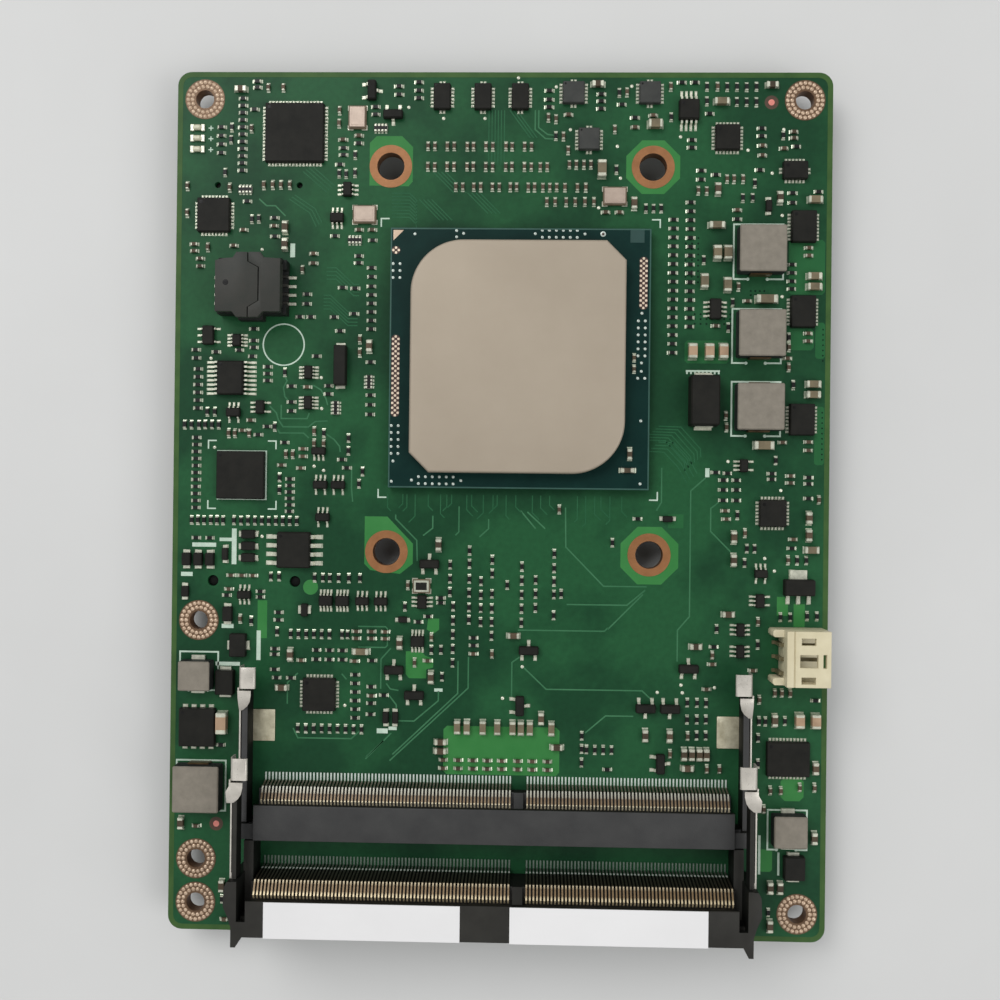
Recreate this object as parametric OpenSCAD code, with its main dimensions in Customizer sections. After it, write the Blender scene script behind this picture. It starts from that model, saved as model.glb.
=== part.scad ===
// Plug-in processor board: 95 x 125 mm, component side up.
// Origin: middle of the four corner holes, on the board's underside. +Y is the edge away from the
// memory sockets, +Z points out of the component side.

/* [Board] */
// Width of the board
board_w = 95; // [95:1:99]
// Length of the board
board_l = 125; // [125:1:129]
// Thickness of the board
board_t = 2; // [1.6:0.1:2.2]
// Corner radius of the board
board_corner_r = 2; // [1:0.5:3]

/* [Mounting holes] */
// Spacing of the corner holes across the board
corner_pitch_x = 87; // [86:0.5:88]
// Spacing of the corner holes along the board
corner_pitch_y = 117; // [116:0.5:118]
// Bore of the corner holes
corner_bore = 2.7; // [2.5:0.1:3.2]
// Outside of the copper land round a corner hole
corner_land = 5.8; // [5:0.1:6]
// Spacing of the heat-spreader holes across the board
spreader_pitch_x = 38; // [38:0.5:39]
// Spacing of the heat-spreader holes along the board
spreader_pitch_y = 56; // [55.5:0.5:57]
// Bore of the heat-spreader holes
spreader_bore = 4; // [3.5:0.1:4.4]
// Outside of the copper land round a heat-spreader hole
spreader_land = 6.2; // [5.8:0.1:6.6]
// Thickness of the copper lands
land_t = 0.06; // [0.04:0.01:0.1]

/* [Processor] */
// Side of the square carrier
carrier_side = 37.4; // [36:0.1:38]
// Thickness of the carrier
carrier_t = 1.2; // [0.8:0.1:1.4]
// Height of the solder balls under the carrier
ball_h = 0.45; // [0.3:0.05:0.6]
// Pitch of the solder balls
ball_pitch = 0.8; // [0.7:0.1:1]
// Width of the lid
lid_w = 30.6; // [29:0.1:32]
// Length of the lid
lid_l = 33.1; // [32:0.1:34]
// Height of the lid
lid_h = 2.25; // [1.8:0.05:2.6]
// Radius of the lid's two round corners
lid_r = 7.5; // [6:0.5:8]
// Size of the lid's two cut corners
lid_cut = 2.8; // [2:0.2:3.2]

/* [Memory sockets] */
// Height of the low socket above the board
low_h = 5.2; // [4.8:0.1:5.2]
// Height of the tall socket above the board
tall_h = 9.2; // [9.2:0.1:9.6]
// Front edge of the low socket's bar
low_y = -42.7; // [-42.7:0.1:-42.5]
// Front edge of the tall socket's bar
tall_y = -54.8; // [-55:0.1:-54.8]
// Pitch of the memory contacts
memory_pitch = 0.5; // [0.5:0.1:0.5]
// Contacts of one row on the long side of the key
long_count = 72; // [60:1:72]
// Contacts of one row on the short side of the key
short_count = 58; // [50:1:58]

/* [Underside plugs] */
// Height of the plugs below the board
plug_h = 4; // [3.5:0.1:4.5]
// Length of each plug
plug_l = 61.2; // [60:0.1:62]
// Contacts in one row of a plug
plug_count = 110; // [100:1:110]
// Pitch of the plug contacts
plug_pitch = 0.5; // [0.5:0.1:0.5]

/* [Fan header] */
// Pitch of the fan header's pins
fan_pitch = 2; // [1.8:0.1:2.2]
// Height of the fan header above the board
fan_h = 5.6; // [5.4:0.1:6]

/* [Flash socket] */
// Height of the hinge axes above the board
flap_axis_h = 3.1; // [3:0.05:3.2]
// Gap along the seam where the two covers meet
flap_gap = 0.16; // [0.12:0.02:0.2]

/* [Coils] */
// Side of the large coils
coil_w = 6.7; // [6:0.1:6.8]
// Height of the large coils
coil_h = 3; // [2.4:0.1:3.4]

/* [Hidden] */
$fn = 96;

// The board's component side
top = board_t;
// Middle of the processor and of the heat-spreader holes
cpu_x = 2.8;
cpu_y = 20.8;
carrier_z = top + ball_h;
lid_z = carrier_z + carrier_t;
// The two extra holes on the left edge, 80 mm and 114.7 mm below the top pair
left_hole_y = [58.5 - 76, 58.5 - 110.7];
// Middle lines and lengthways middle of the two underside plugs, and their pegs
outer_plug_x = -41.5;
inner_plug_x = -29.5;
plug_y = 17.15;
peg_y = [46, -11.7];
peg_bore = [0.9, 1.6];
// First contact of each memory row, left and right of the key
long_x0 = -33.35;
short_x0 = 4.65;
// Ends of the sockets' bars
bar_left = -33.95;
bar_right = 33.6;
key_x = [2.7, 4.1];
// Inner faces of the sockets' arms, which leave room for a memory module 69.6 mm wide
arm_x = 35.1;
arm_out = 35.95;
// Inner face of the latches' strips
strip_x = 36.1;
// The sockets' frames sit a little left of their contacts' middle
socket_shift = -0.18;

function row_along_x(x0, y, pitch, n) = [for (i = [0:n - 1]) [x0 + i * pitch, y]];
function column(x, y0, pitch, n) = [for (i = [0:n - 1]) [x, y0 - i * pitch]];
function at_y(xs, y) = [for (x = xs) [x, y]];
function at_x(x, ys) = [for (y = ys) [x, y]];

// A block with its middle at x, y and its foot at z
module block(x, y, w, l, h, z = top) translate([x - w / 2, y - l / 2, z]) cube([w, l, h]);
// A block from one corner to the other
module span(a, b) translate(a) cube(b - a);
// An outline in Y and Z drawn out along X
module along_x(x, len, outline) translate([x, 0, 0]) rotate([90, 0, 90]) linear_extrude(len) polygon(outline);
// An outline in X and Z drawn out along Y
module along_y(y, len, outline) translate([0, y + len, 0]) rotate([90, 0, 0]) linear_extrude(len)
    polygon(outline);
module each_mounting_hole() {
    for (x = [-1, 1], y = [-1, 1]) translate([x * corner_pitch_x / 2, y * corner_pitch_y / 2, 0]) children();
    for (y = left_hole_y) translate([-corner_pitch_x / 2, y, 0]) children();
}
module each_spreader_hole() for (x = [-1, 1], y = [-1, 1])
    translate([cpu_x + x * spreader_pitch_x / 2, cpu_y + y * spreader_pitch_y / 2, 0]) children();

// Laminated glass-fibre board with its mounting, heat-spreader and peg holes
module circuit_board() color("darkgreen") difference() {
    linear_extrude(board_t) {
        square([board_w - 2 * board_corner_r, board_l], center = true);
        square([board_w, board_l - 2 * board_corner_r], center = true);
        for (x = [-1, 1], y = [-1, 1])
            translate([x * (board_w / 2 - board_corner_r), y * (board_l / 2 - board_corner_r)])
                circle(r = board_corner_r);
    }
    each_mounting_hole() translate([0, 0, -1]) cylinder(d = corner_bore, h = board_t + 2);
    each_spreader_hole() translate([0, 0, -1]) cylinder(d = spreader_bore, h = board_t + 2);
    for (x = [outer_plug_x, inner_plug_x], i = [0, 1])
        translate([x, peg_y[i], -1]) cylinder(d = peg_bore[i], h = board_t + 2);
}
// Flat copper ring on both faces of the board
module land_pair(outside, bore) for (z = [-land_t, board_t]) translate([0, 0, z]) difference() {
    cylinder(d = outside, h = land_t);
    translate([0, 0, -1]) cylinder(d = bore, h = 2);
}
module mounting_hole_lands() color("peru") each_mounting_hole() land_pair(corner_land, corner_bore);
module spreader_hole_lands() color("peru") each_spreader_hole() land_pair(spreader_land, spreader_bore);

module processor_substrate() color("darkslategray")
    block(cpu_x, cpu_y, carrier_side, carrier_side, carrier_t, carrier_z);
module lid_outline(w, l, r, cut) {
    polygon([[-w / 2 + cut, -l / 2], [w / 2 - r, -l / 2], [w / 2, -l / 2 + r], [w / 2, l / 2 - cut],
        [w / 2 - cut, l / 2], [-w / 2 + r, l / 2], [-w / 2, l / 2 - r], [-w / 2, -l / 2 + cut]]);
    translate([w / 2 - r, -l / 2 + r]) circle(r = r);
    translate([-w / 2 + r, l / 2 - r]) circle(r = r);
}
// Plated copper lid, hollow over the dies and glued down by its rim
module processor_lid() color("tan") translate([2.55, cpu_y + 0.05, lid_z]) difference() {
    linear_extrude(lid_h) lid_outline(lid_w, lid_l, lid_r, lid_cut);
    translate([-11, -12, -1]) cube([22, 24, 1.85]);
}
module processor_dies() color("dimgray") {
    block(cpu_x - 3, cpu_y, 10, 20, 0.85, lid_z);
    block(cpu_x + 6, cpu_y + 1, 6, 9, 0.85, lid_z);
}
// The outermost row of solder balls, the one seen under the carrier's edge
module processor_balls() color("silver") {
    half = (carrier_side - 1.4) / 2;
    n = floor(2 * half / ball_pitch);
    for (i = [0:n - 1], s = [-1, 1]) {
        translate([cpu_x - n * ball_pitch / 2 + i * ball_pitch, cpu_y + s * n * ball_pitch / 2, top])
            cylinder(d = 0.5, h = ball_h);
        translate([cpu_x + s * n * ball_pitch / 2,
            cpu_y - n * ball_pitch / 2 + (i + (s < 0 ? 1 : 0)) * ball_pitch, top])
                cylinder(d = 0.5, h = ball_h);
    }
}
module processor_capacitors() color("silver") {
    block(19.2, 21.0, 0.5, 1, 0.4, lid_z);
    block(19.2, 19.4, 0.5, 1, 0.4, lid_z);
    block(18.7, 7.2, 0.7, 1.6, 0.5, lid_z);
    block(18.4, 4.9, 2, 0.7, 0.5, lid_z);
}

// One memory contact: foot at the front, riser, and a sprung beam that ends in a raised tip
module front_contact(x, y, tip) along_x(x - 0.11, 0.22, [for (p = [[3.3, top], [3.3, top + 0.15],
    [2.2, top + 0.15], [1.75, tip - 0.95], [-0.1, tip], [-0.7, tip - 0.3], [-0.1, tip - 0.2],
    [1.58, tip - 1.12], [2.03, top]]) [y + p[0], p[1]]]);
// One memory contact of the rear row: foot behind the bar, riser in the bar, beam over the slot
module rear_contact(x, y, tip) along_x(x - 0.11, 0.22, [for (p = [[-5.9, top], [-3.6, top],
    [-3.6, tip + 0.85], [-0.9, tip + 0.45], [-0.9, tip + 0.6], [-3.75, tip + 1.05], [-3.75, top + 0.15],
    [-5.9, top + 0.15]]) [y + p[0], p[1]]]);
module each_memory_contact() {
    for (i = [0:long_count - 1]) translate([long_x0 + i * memory_pitch, 0, 0]) children();
    for (i = [0:short_count - 1]) translate([short_x0 + i * memory_pitch, 0, 0]) children();
}
// The bar that the module's edge goes into: lower jaw, upper jaw and key
module socket_bar(y, tip) {
    lower = [[1.4, top + 0.2], [1.4, tip - 1.2], [-1.1, tip - 1.2], [-1.1, tip - 0.1], [-3.4, tip - 0.1],
        [-3.4, top + 0.2]];
    upper = [[-0.25, tip + 1.3], [-0.25, tip + 2.1], [-0.35, tip + 2.2], [-5.2, tip + 2.2], [-5.2, top + 0.2],
        [-3.9, top + 0.2], [-3.9, tip + 1.3]];
    key = [[1.4, top + 0.2], [1.4, tip - 1], [-0.8, tip + 0.9], [-0.8, tip + 1.5], [-4.2, tip + 1.5],
        [-4.2, top + 0.2]];
    for (jaw = [lower, upper]) along_x(bar_left, bar_right - bar_left, [for (p = jaw) [y + p[0], p[1]]]);
    along_x(key_x[0], key_x[1] - key_x[0], [for (p = key) [y + p[0], p[1]]]);
}
// Room in a socket's end block for the corner of the module's edge
module module_corner(y, tip) span([33, y - 3.9, tip - 0.1], [35, y + 5, tip + 1.3]);
module low_socket_housing() color("dimgray") {
    tip = top + low_h - 2.2;
    socket_bar(low_y, tip);
    translate([socket_shift, 0, 0]) for (s = [-1, 1]) scale([s, 1, 1]) {
        difference() {
            span([33.55, low_y - 5.2, top + 0.2], [arm_out, low_y - 3, top + 4.6]);
            module_corner(low_y, tip);
        }
        span([arm_x, low_y - 4, top + 0.2], [arm_out, -27.2, top + 3.6]);
        span([arm_x, -29.5, top + 0.2], [arm_out, -24.6, top + 1.6]);
    }
}
module tall_socket_housing() color("dimgray") {
    tip = top + tall_h - 2.2;
    socket_bar(tall_y, tip);
    translate([socket_shift, 0, 0]) for (s = [-1, 1]) scale([s, 1, 1]) {
        difference() {
            span([33.55, tall_y - 5.2, top + 0.2], [35.1, tall_y - 3.1, top + tall_h]);
            module_corner(tall_y, tip);
        }
        span([35, tall_y - 5.2, top + 0.2], [35.75, tall_y + 2.4, top + tall_h]);
        span([33.8, tall_y - 3.3, top + 0.2], [35.2, -48.1, top + 4.5]);
        span([35.35, tall_y - 1, top + 5.4], [arm_out, -38.9, top + 8]);
        translate([0, 0, top + 0.2]) linear_extrude(tall_h - 0.2) {
            polygon([[35.75, -59.9], [35.75, -61.4], [35.1, -61.4], [34.3, -59.9]]);
            polygon([[35.6, -52.45], [36.35, -52.45], [36.75, -53.2], [36.85, -55.8], [36.15, -57.4],
                [35.6, -59.2]]);
        }
    }
}
module low_front_contacts() color("darkkhaki")
    each_memory_contact() front_contact(0, low_y, top + low_h - 2.2);
module low_rear_contacts() color("darkkhaki")
    each_memory_contact() rear_contact(0, low_y, top + low_h - 2.2);
module tall_front_contacts() color("darkkhaki")
    each_memory_contact() front_contact(0, tall_y, top + tall_h - 2.2);
module tall_rear_contacts() color("darkkhaki")
    each_memory_contact() rear_contact(0, tall_y, top + tall_h - 2.2);

// Sprung steel latch, drawn for the right side: strip along the arm with its foot against the arm, finger
// tab bent over from the strip, and behind a slot a curved ramp that narrows to the strip, flares out by
// wing and ends drop below the tab, clear of the arm
module latch(tab_y, top_z, foot_z, end_y, drop, wing) translate([socket_shift, 0, 0]) {
    span([strip_x, end_y, foot_z], [strip_x + 0.2, tab_y - 1.5, foot_z + 1.9]);
    span([arm_out + 0.02, end_y, foot_z], [strip_x + 0.1, end_y + 0.8, foot_z + 1.9]);
    along_y(tab_y - 3, 3, [[strip_x - 2.3, top_z - 0.45], [strip_x - 2.27, top_z - 0.15],
        [strip_x - 2.1, top_z], [strip_x - 0.35, top_z], [strip_x - 0.1, top_z - 0.15],
        [strip_x + 0.2, top_z - 1.1], [strip_x + 0.2, foot_z], [strip_x, foot_z], [strip_x, top_z - 1.1],
        [strip_x - 0.27, top_z - 0.32], [strip_x - 0.4, top_z - 0.2], [strip_x - 2, top_z - 0.2],
        [strip_x - 2.1, top_z - 0.45]]);
    intersection() {
        along_x(strip_x - 1.7, 1.7 + wing, [[tab_y - 3.3, top_z - 0.05], [tab_y - 4.3, top_z - 0.2 * drop],
            [tab_y - 5.3, top_z - 0.58 * drop], [tab_y - 6.3, top_z - drop], [tab_y - 6.1, top_z - drop],
            [tab_y - 5.2, top_z - 0.68 * drop], [tab_y - 4.2, top_z - 0.2 * drop - 0.18],
            [tab_y - 3.3, top_z - 0.22]]);
        linear_extrude(20) polygon([[strip_x + 0.2, tab_y - 3], [strip_x - 1.7, tab_y - 3],
            [strip_x - 1.65, tab_y - 4.1], [strip_x - 1.4, tab_y - 5], [strip_x - 0.95, tab_y - 5.7],
            [strip_x - 0.35, tab_y - 6.2], [strip_x + 0.1, tab_y - 6.4], [strip_x + wing, tab_y - 6.4],
            [strip_x + wing, tab_y - 4.6], [strip_x + 0.2, tab_y - 3.8]]);
    }
    along_x(strip_x, 0.2, [[tab_y - 2.9, top_z - 0.1], [tab_y - 4.7, top_z - 0.6],
        [tab_y - 6.2, top_z - 2.15], [tab_y - 6.2, foot_z + 0.4], [tab_y - 2.9, foot_z + 0.4]]);
}
// The same latch on the left side: the frame is mirrored about its own middle
module left_side() translate([2 * socket_shift, 0, 0]) scale([-1, 1, 1]) children();
module low_latch() latch(-23.6, top + 4.9, top + 1.7, low_y - 4.4, 1.25, 0.22);
module tall_latch() latch(-35.6, top + 8.9, top + 5.9, -52.4, 0.85, 0.7);
module low_right_latch() color("silver") low_latch();
module low_left_latch() color("silver") left_side() low_latch();
module tall_right_latch() color("silver") tall_latch();
module tall_left_latch() color("silver") left_side() tall_latch();
// Tinned steel feet that hold each socket down, soldered to the board under the arms and the outer walls
module low_hold_downs() color("silver") for (s = [-1, 1])
    block(s * 33.65 + socket_shift, -32.6, 3.4, 4.6, 0.19);
module tall_hold_downs() color("silver") for (s = [-1, 1])
    block(s * 36.3 + socket_shift, -54.9, 1, 2.4, 0.19);
module left_label() color("white") span([-31.4, -60.05, top + tall_h], [-4.4, -55.1, top + tall_h + 0.1]);
module right_label() color("white") span([2.4, -60.08, top + tall_h], [29.4, -55.1, top + tall_h + 0.1]);

// Board-to-board plug on the underside: base, tongue and two pegs in the board
module plug_housing(x) {
    span([x - 2.7, plug_y - plug_l / 2, -1.2], [x + 2.7, plug_y + plug_l / 2, 0]);
    span([x - 1, plug_y - plug_l / 2 + 1.8, -plug_h], [x + 1, plug_y + plug_l / 2 - 1.8, -1.2]);
    for (s = [-1, 1]) span([x - 2.7, plug_y + s * (plug_l / 2 - 0.6) - 0.6, -plug_h],
        [x + 2.7, plug_y + s * (plug_l / 2 - 0.6) + 0.6, -1.2]);
    for (i = [0, 1]) translate([x, peg_y[i], 0]) cylinder(d = peg_bore[i] - 0.1, h = 1.4);
}
module plug_contacts(x) for (i = [0:plug_count - 1], s = [-1, 1])
    translate([x, plug_y + (i - (plug_count - 1) / 2) * plug_pitch, 0]) scale([s, 1, 1])
        along_y(-0.1, 0.2, [[2.7, 0], [2.7, -1.2], [1, -1.2], [1, -plug_h + 0.4], [1.12, -plug_h + 0.4],
            [1.12, -1.35], [2.85, -1.35], [2.85, 0]]);
module outer_plug_housing() color("dimgray") plug_housing(outer_plug_x);
module outer_plug_contacts() color("gold") plug_contacts(outer_plug_x);
module inner_plug_housing() color("dimgray") plug_housing(inner_plug_x);
module inner_plug_contacts() color("gold") plug_contacts(inner_plug_x);

// Side-entry fan header: mouth towards the board's right edge, two legs behind
fan_y = -21.25;
fan_half = 3.9;
fan_rear = 40.5;
// Middle line of the fan header's pins and windows
fan_pin_y = -21.5;
fan_front = 46.6;
module fan_header_housing() color("cornsilk") difference() {
    union() {
        span([fan_rear, fan_y - fan_half, top], [fan_front, fan_y + fan_half, top + fan_h]);
        for (s = [-1, 1]) translate([0, 0, top]) linear_extrude(3.5) polygon([
            for (p = [[39, 0.25], [39.25, 0], [fan_rear + 1, 0], [fan_rear + 1, 1.05], [39.25, 1.05],
                [39, 0.8]]) [p[0], fan_y + s * (fan_half - p[1])]]);
    }
    span([fan_rear + 1.5, fan_y - 3.3, top + 0.7], [fan_front + 1, fan_y + 3.3, top + 4.8]);
    span([45.5, fan_pin_y - 0.95, top + 4], [46, fan_pin_y + 0.95, top + fan_h + 1]);
    for (y = [-2.7, 2.7]) span([42.5, fan_pin_y + y - 0.5, top + 4],
        [44.5, fan_pin_y + y + 0.5, top + fan_h + 1]);
    span([42.3, fan_pin_y - 0.9, top + 4], [44.8, fan_pin_y + 0.9, top + fan_h + 1]);
    span([41.45, fan_y - fan_half - 1, top + fan_h - 0.2], [41.65, fan_y + fan_half + 1, top + fan_h + 1]);
    for (i = [-1:1]) span([fan_rear - 1, fan_pin_y + i * fan_pitch - 0.27, top + 2.83],
        [fan_rear + 2, fan_pin_y + i * fan_pitch + 0.27, top + 3.37]);
}
module fan_header_pins() color("silver") for (i = [-1:1])
    along_y(fan_pin_y + i * fan_pitch - 0.25, 0.5, [[45.4, top + 2.85], [45.6, top + 3], [45.6, top + 3.2],
        [45.4, top + 3.35], [40.1, top + 3.35], [39.9, top + 3.15], [39.9, top + 0.2], [39.5, top + 0.2],
        [39.5, top], [40.4, top], [40.4, top + 2.85]]);

// Clamshell socket for the flash chip: two covers that swing open to the left and right
flash_mid = -35.75;
flash_axis = 4.15;
flap_z = top + flap_axis_h;
module flash_socket_base() color("dimgray") difference() {
    union() {
        span([flash_mid - 5, 26.8, top + 0.2], [flash_mid + 5, 34.6, top + 2.4]);
        span([flash_mid - 2, 26, top + 0.2], [flash_mid + 1.6, 35.2, top + 2.2]);
        for (s = [-1, 1], y = [26.8, 33.9]) {
            block(flash_mid + s * flash_axis, y + 0.35, 0.84, 0.7, flap_axis_h - 2.3, top + 2.3);
            translate([flash_mid + s * flash_axis, y + 0.7, flap_z]) rotate([90, 0, 0])
                cylinder(r = 0.48, h = 0.7);
        }
    }
    span([flash_mid - 2.9, 27.9, top + 0.8], [flash_mid + 2.9, 33.5, top + 3]);
    for (s = [-1, 1]) {
        span([flash_mid + s * 3.9 - 1.2, 28.2, top + 1], [flash_mid + s * 3.9 + 1.2, 33.2, top + 3]);
        translate([flash_mid + s * flash_axis, 36, flap_z]) rotate([90, 0, 0]) cylinder(r = 0.32, h = 12);
    }
    for (i = [0:3], s = [-1, 1]) span([flash_mid + s * 4.5 - 1, flash_lead_y(i) - 0.25, top],
        [flash_mid + s * 4.5 + 1, flash_lead_y(i) + 0.25, top + 1.1]);
}
function flash_lead_y(i) = 32.45 - i * 1.27;
// Zig-zag seam between the covers, from the front edge to the back
seam = [[-35.75, 35.2], [-35.75, 33.85], [-34.25, 33.05], [-34.25, 28.3], [-35.75, 27.4], [-35.75, 26]];
module cover_trunnion(s) {
    translate([flash_mid + s * flash_axis, 33.8, flap_z]) rotate([90, 0, 0]) cylinder(r = 0.46, h = 6.2);
    translate([flash_mid + s * flash_axis, 34.5, flap_z]) rotate([90, 0, 0]) cylinder(r = 0.26, h = 7.6);
    span([flash_mid + s * flash_axis - 0.42, 27.7, flap_z],
        [flash_mid + s * flash_axis + 0.42, 33.7, flap_z + 0.8]);
}
module flash_left_cover() color("gray") {
    translate([0, 0, flap_z + 0.6]) linear_extrude(1.1) polygon(concat(
        [for (p = seam) [p[0] - flap_gap / 2, p[1]]],
        [[-37.4, 26], [-38, 26.8], [-40.4, 26.8], [-40.4, 34], [-39.2, 34.3], [-37.9, 34.4], [-37.4, 35.2]]));
    cover_trunnion(-1);
}
module flash_right_cover() color("gray") {
    translate([0, 0, flap_z + 0.6]) linear_extrude(1.1) polygon(concat(
        [for (i = [len(seam) - 1:-1:0]) [seam[i][0] + flap_gap / 2, seam[i][1]]],
        [[-34, 35.2], [-33.5, 34.45], [-31.15, 34.3], [-31.15, 26.8], [-33.6, 26.8], [-34.3, 26]]));
    cover_trunnion(1);
}
// Contact of the flash socket: foot outside, blade under the chip's lead
module flash_socket_contacts() color("silver") for (i = [0:3], s = [-1, 1])
    translate([flash_mid, flash_lead_y(i) - 0.2, 0]) scale([s, 1, 1])
        along_y(0, 0.4, [[6, top], [6, top + 0.2], [4.9, top + 0.2], [4.9, top + 1], [3, top + 1.25],
            [3, top + 1.05], [4.7, top + 0.8], [4.7, top]]);
module flash_chip() color("black") {
    block(flash_mid, 30.7, 5.2, 5.2, 1.9, top + 0.85);
    for (i = [0:3], s = [-1, 1])
        span([flash_mid + s * 3.3 - 0.75, flash_lead_y(i) - 0.2, top + 1.3],
            [flash_mid + s * 3.3 + 0.75, flash_lead_y(i) + 0.2, top + 1.5]);
}

// Leadless chips: middle x, y, width, length, terminals on the top and bottom sides and on the left and
// right sides
controllers = [[-30.2, 53.5, 8.6, 8.6, 16, 16], [-41.9, 41.5, 4.8, 5, 8, 8], [-25.7, -28, 4.8, 4.8, 8, 8],
    [39.4, -1, 3.9, 3.9, 7, 7], [32.4, 53, 3.6, 3.7, 7, 7], [42.1, 48.3, 3.6, 2.6, 6, 2],
    [41.9, -36.2, 6.2, 5, 11, 0]];
drivers = [[-8.8, 58.8, 2.5, 3.8, 2, 6], [-2.9, 58.8, 2.5, 3.8, 2, 6], [2.5, 58.8, 2.5, 3.8, 2, 6],
    [10.2, 59.4, 3.2, 3.2, 2, 6], [21.2, 59.4, 3.1, 3.2, 2, 6], [12.5, 52.7, 3.1, 3.2, 2, 6]];
power_stages = [[43.4, 40.2, 3.6, 4.6, 0, 8], [43.4, 28, 3.6, 4.6, 0, 8], [43.4, 12.5, 3.6, 4.6, 0, 8],
    [-43.4, -33, 5.3, 5.6, 4, 0]];
leadless = concat(controllers, drivers, power_stages);
function terminal_pitch(chip) = chip[2] > 5 && chip[4] == 4 ? 1.27 : 0.5;
module chip_bodies(chips, h) for (c = chips) block(c[0], c[1], c[2], c[3], h);
module controller_chips() color("dimgray") chip_bodies(controllers, 0.9);
module driver_chips() color("dimgray") chip_bodies(drivers, 0.9);
module power_stage_chips() color("dimgray") chip_bodies(power_stages, 1);
module leadless_terminals() color("silver") for (c = leadless) {
    p = terminal_pitch(c);
    for (s = [-1, 1]) {
        if (c[4] > 0) for (i = [0:c[4] - 1])
            block(c[0] + (i - (c[4] - 1) / 2) * p, c[1] + s * (c[3] / 2 + 0.2), p * 0.52, 0.4, 0.16);
        if (c[5] > 0) for (i = [0:c[5] - 1])
            block(c[0] + s * (c[2] / 2 + 0.2), c[1] + (i - (c[5] - 1) / 2) * p, 0.4, p * 0.52, 0.16);
    }
}
module ball_grid_chip() color("dimgray") block(-37.5, 3.7, 7, 7, 1);

// Chips with bent leads: x, y, width, length, leads a side, pitch, reach of the leads, leads at left and
// right or at top and bottom
gull_wings = [[-39.1, 17.8, 3.9, 5, 8, 0.65, 1.5, true], [-29.6, -7.1, 4.9, 5.3, 4, 1.27, 1.5, true],
    [26.8, 56.9, 3, 3, 4, 0.68, 1.2, false]];
module gull_wing_chips() color("dimgray") for (g = gull_wings) block(g[0], g[1], g[2], g[3], 1.15, top + 0.1);
module gull_wing_leads() color("silver") for (g = gull_wings, s = [0, 180], i = [0:g[4] - 1])
    translate([g[0], g[1], top]) rotate(s + (g[7] ? 0 : 90))
        translate([0, (i - (g[4] - 1) / 2) * g[5] - g[5] * 0.22, 0]) along_y(0, g[5] * 0.44,
            [for (p = [[g[6], 0], [g[6], 0.15], [0.55, 0.18], [0.4, 0.72], [0, 0.72], [0, 0.57], [0.28, 0.57],
                [0.4, 0]]) [(g[7] ? g[2] : g[3]) / 2 + p[0], p[1]]]);

// Small moulded chips: x, y, body along the lead rows, body across, leads of the two rows, pitch, turn
logic = [[-22.4, 45.3, 2.1, 1.3, 3, 3, 0.65, 90], [-23.9, 41.2, 2, 1.4, 3, 3, 0.65, 0],
    [-42.5, 24, 2.8, 1.7, 3, 2, 0.95, 90], [-38.7, 12.8, 2.1, 1.3, 3, 2, 0.65, 0],
    [-34.8, 13.6, 2, 1.3, 3, 2, 0.65, 90], [-26.2, 7.3, 2.1, 1.1, 0, 3, 0.65, 0],
    [-25.9, 2.4, 2.1, 1.2, 3, 2, 0.65, 0], [-23.3, 2.4, 2.1, 1.2, 3, 2, 0.65, 0],
    [-25.5, -2.3, 2.1, 1.2, 3, 2, 0.65, 0], [-36.8, -13.7, 2, 1.2, 3, 3, 0.65, 0],
    [-24.9, -14.4, 2, 1.5, 4, 4, 0.5, 0], [-22.5, -14.4, 2, 1.5, 4, 4, 0.5, 0],
    [-19.6, -14.4, 2, 1.2, 3, 3, 0.65, 0], [-16.9, -14.4, 2, 1.2, 3, 3, 0.65, 0],
    [-10.9, -14.4, 2, 1.4, 3, 3, 0.6, 90], [-11.5, -20.1, 2, 1.6, 4, 4, 0.5, 0],
    [-38.3, 23.3, 1.8, 1.3, 4, 4, 0.5, 90], [-27.8, 18.7, 2, 1.2, 4, 4, 0.5, 90],
    [-27.8, 14.3, 2, 1.2, 4, 4, 0.5, 90], [30.9, 28.3, 3, 1.7, 4, 4, 0.65, 90],
    [35.2, 5.8, 1.9, 1.2, 3, 2, 0.6, 90], [37.8, -9.7, 1.9, 1.2, 3, 2, 0.65, 0],
    [37.7, -13.6, 2, 1.3, 3, 2, 0.6, 90], [34.95, -17.8, 1.9, 1.2, 3, 3, 0.65, 90],
    [34.95, -20.9, 1.9, 1.2, 3, 3, 0.65, 90]];
module each_logic() for (c = logic) translate([c[0], c[1], top]) rotate(c[7]) {
    $chip = c;
    children();
}
module logic_chips() color("dimgray") each_logic()
    translate([-$chip[2] / 2, -$chip[3] / 2, 0.08]) cube([$chip[2], $chip[3], 0.85]);
// Flat formed lead: foot on the board, riser, shoulder that goes into the body
module small_lead(x, y, side, w) translate([x - w / 2, y, 0]) scale([1, side, 1])
    rotate([90, 0, 90]) linear_extrude(w) polygon([[0.75, 0], [0.75, 0.14], [0.35, 0.16], [0.16, 0.5],
        [0, 0.5], [0, 0.36], [0.2, 0]]);
module logic_leads() color("silver") each_logic() {
    c = $chip;
    if (c[4] > 0) for (i = [0:c[4] - 1])
        small_lead(c[4] == 2 ? (i - 0.5) * 2 * c[6] : (i - (c[4] - 1) / 2) * c[6], c[3] / 2, 1, 0.24);
    if (c[5] > 0) for (i = [0:c[5] - 1])
        small_lead(c[5] == 2 ? (i - 0.5) * 2 * c[6] : (i - (c[5] - 1) / 2) * c[6], -c[3] / 2, -1, 0.24);
}
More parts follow.
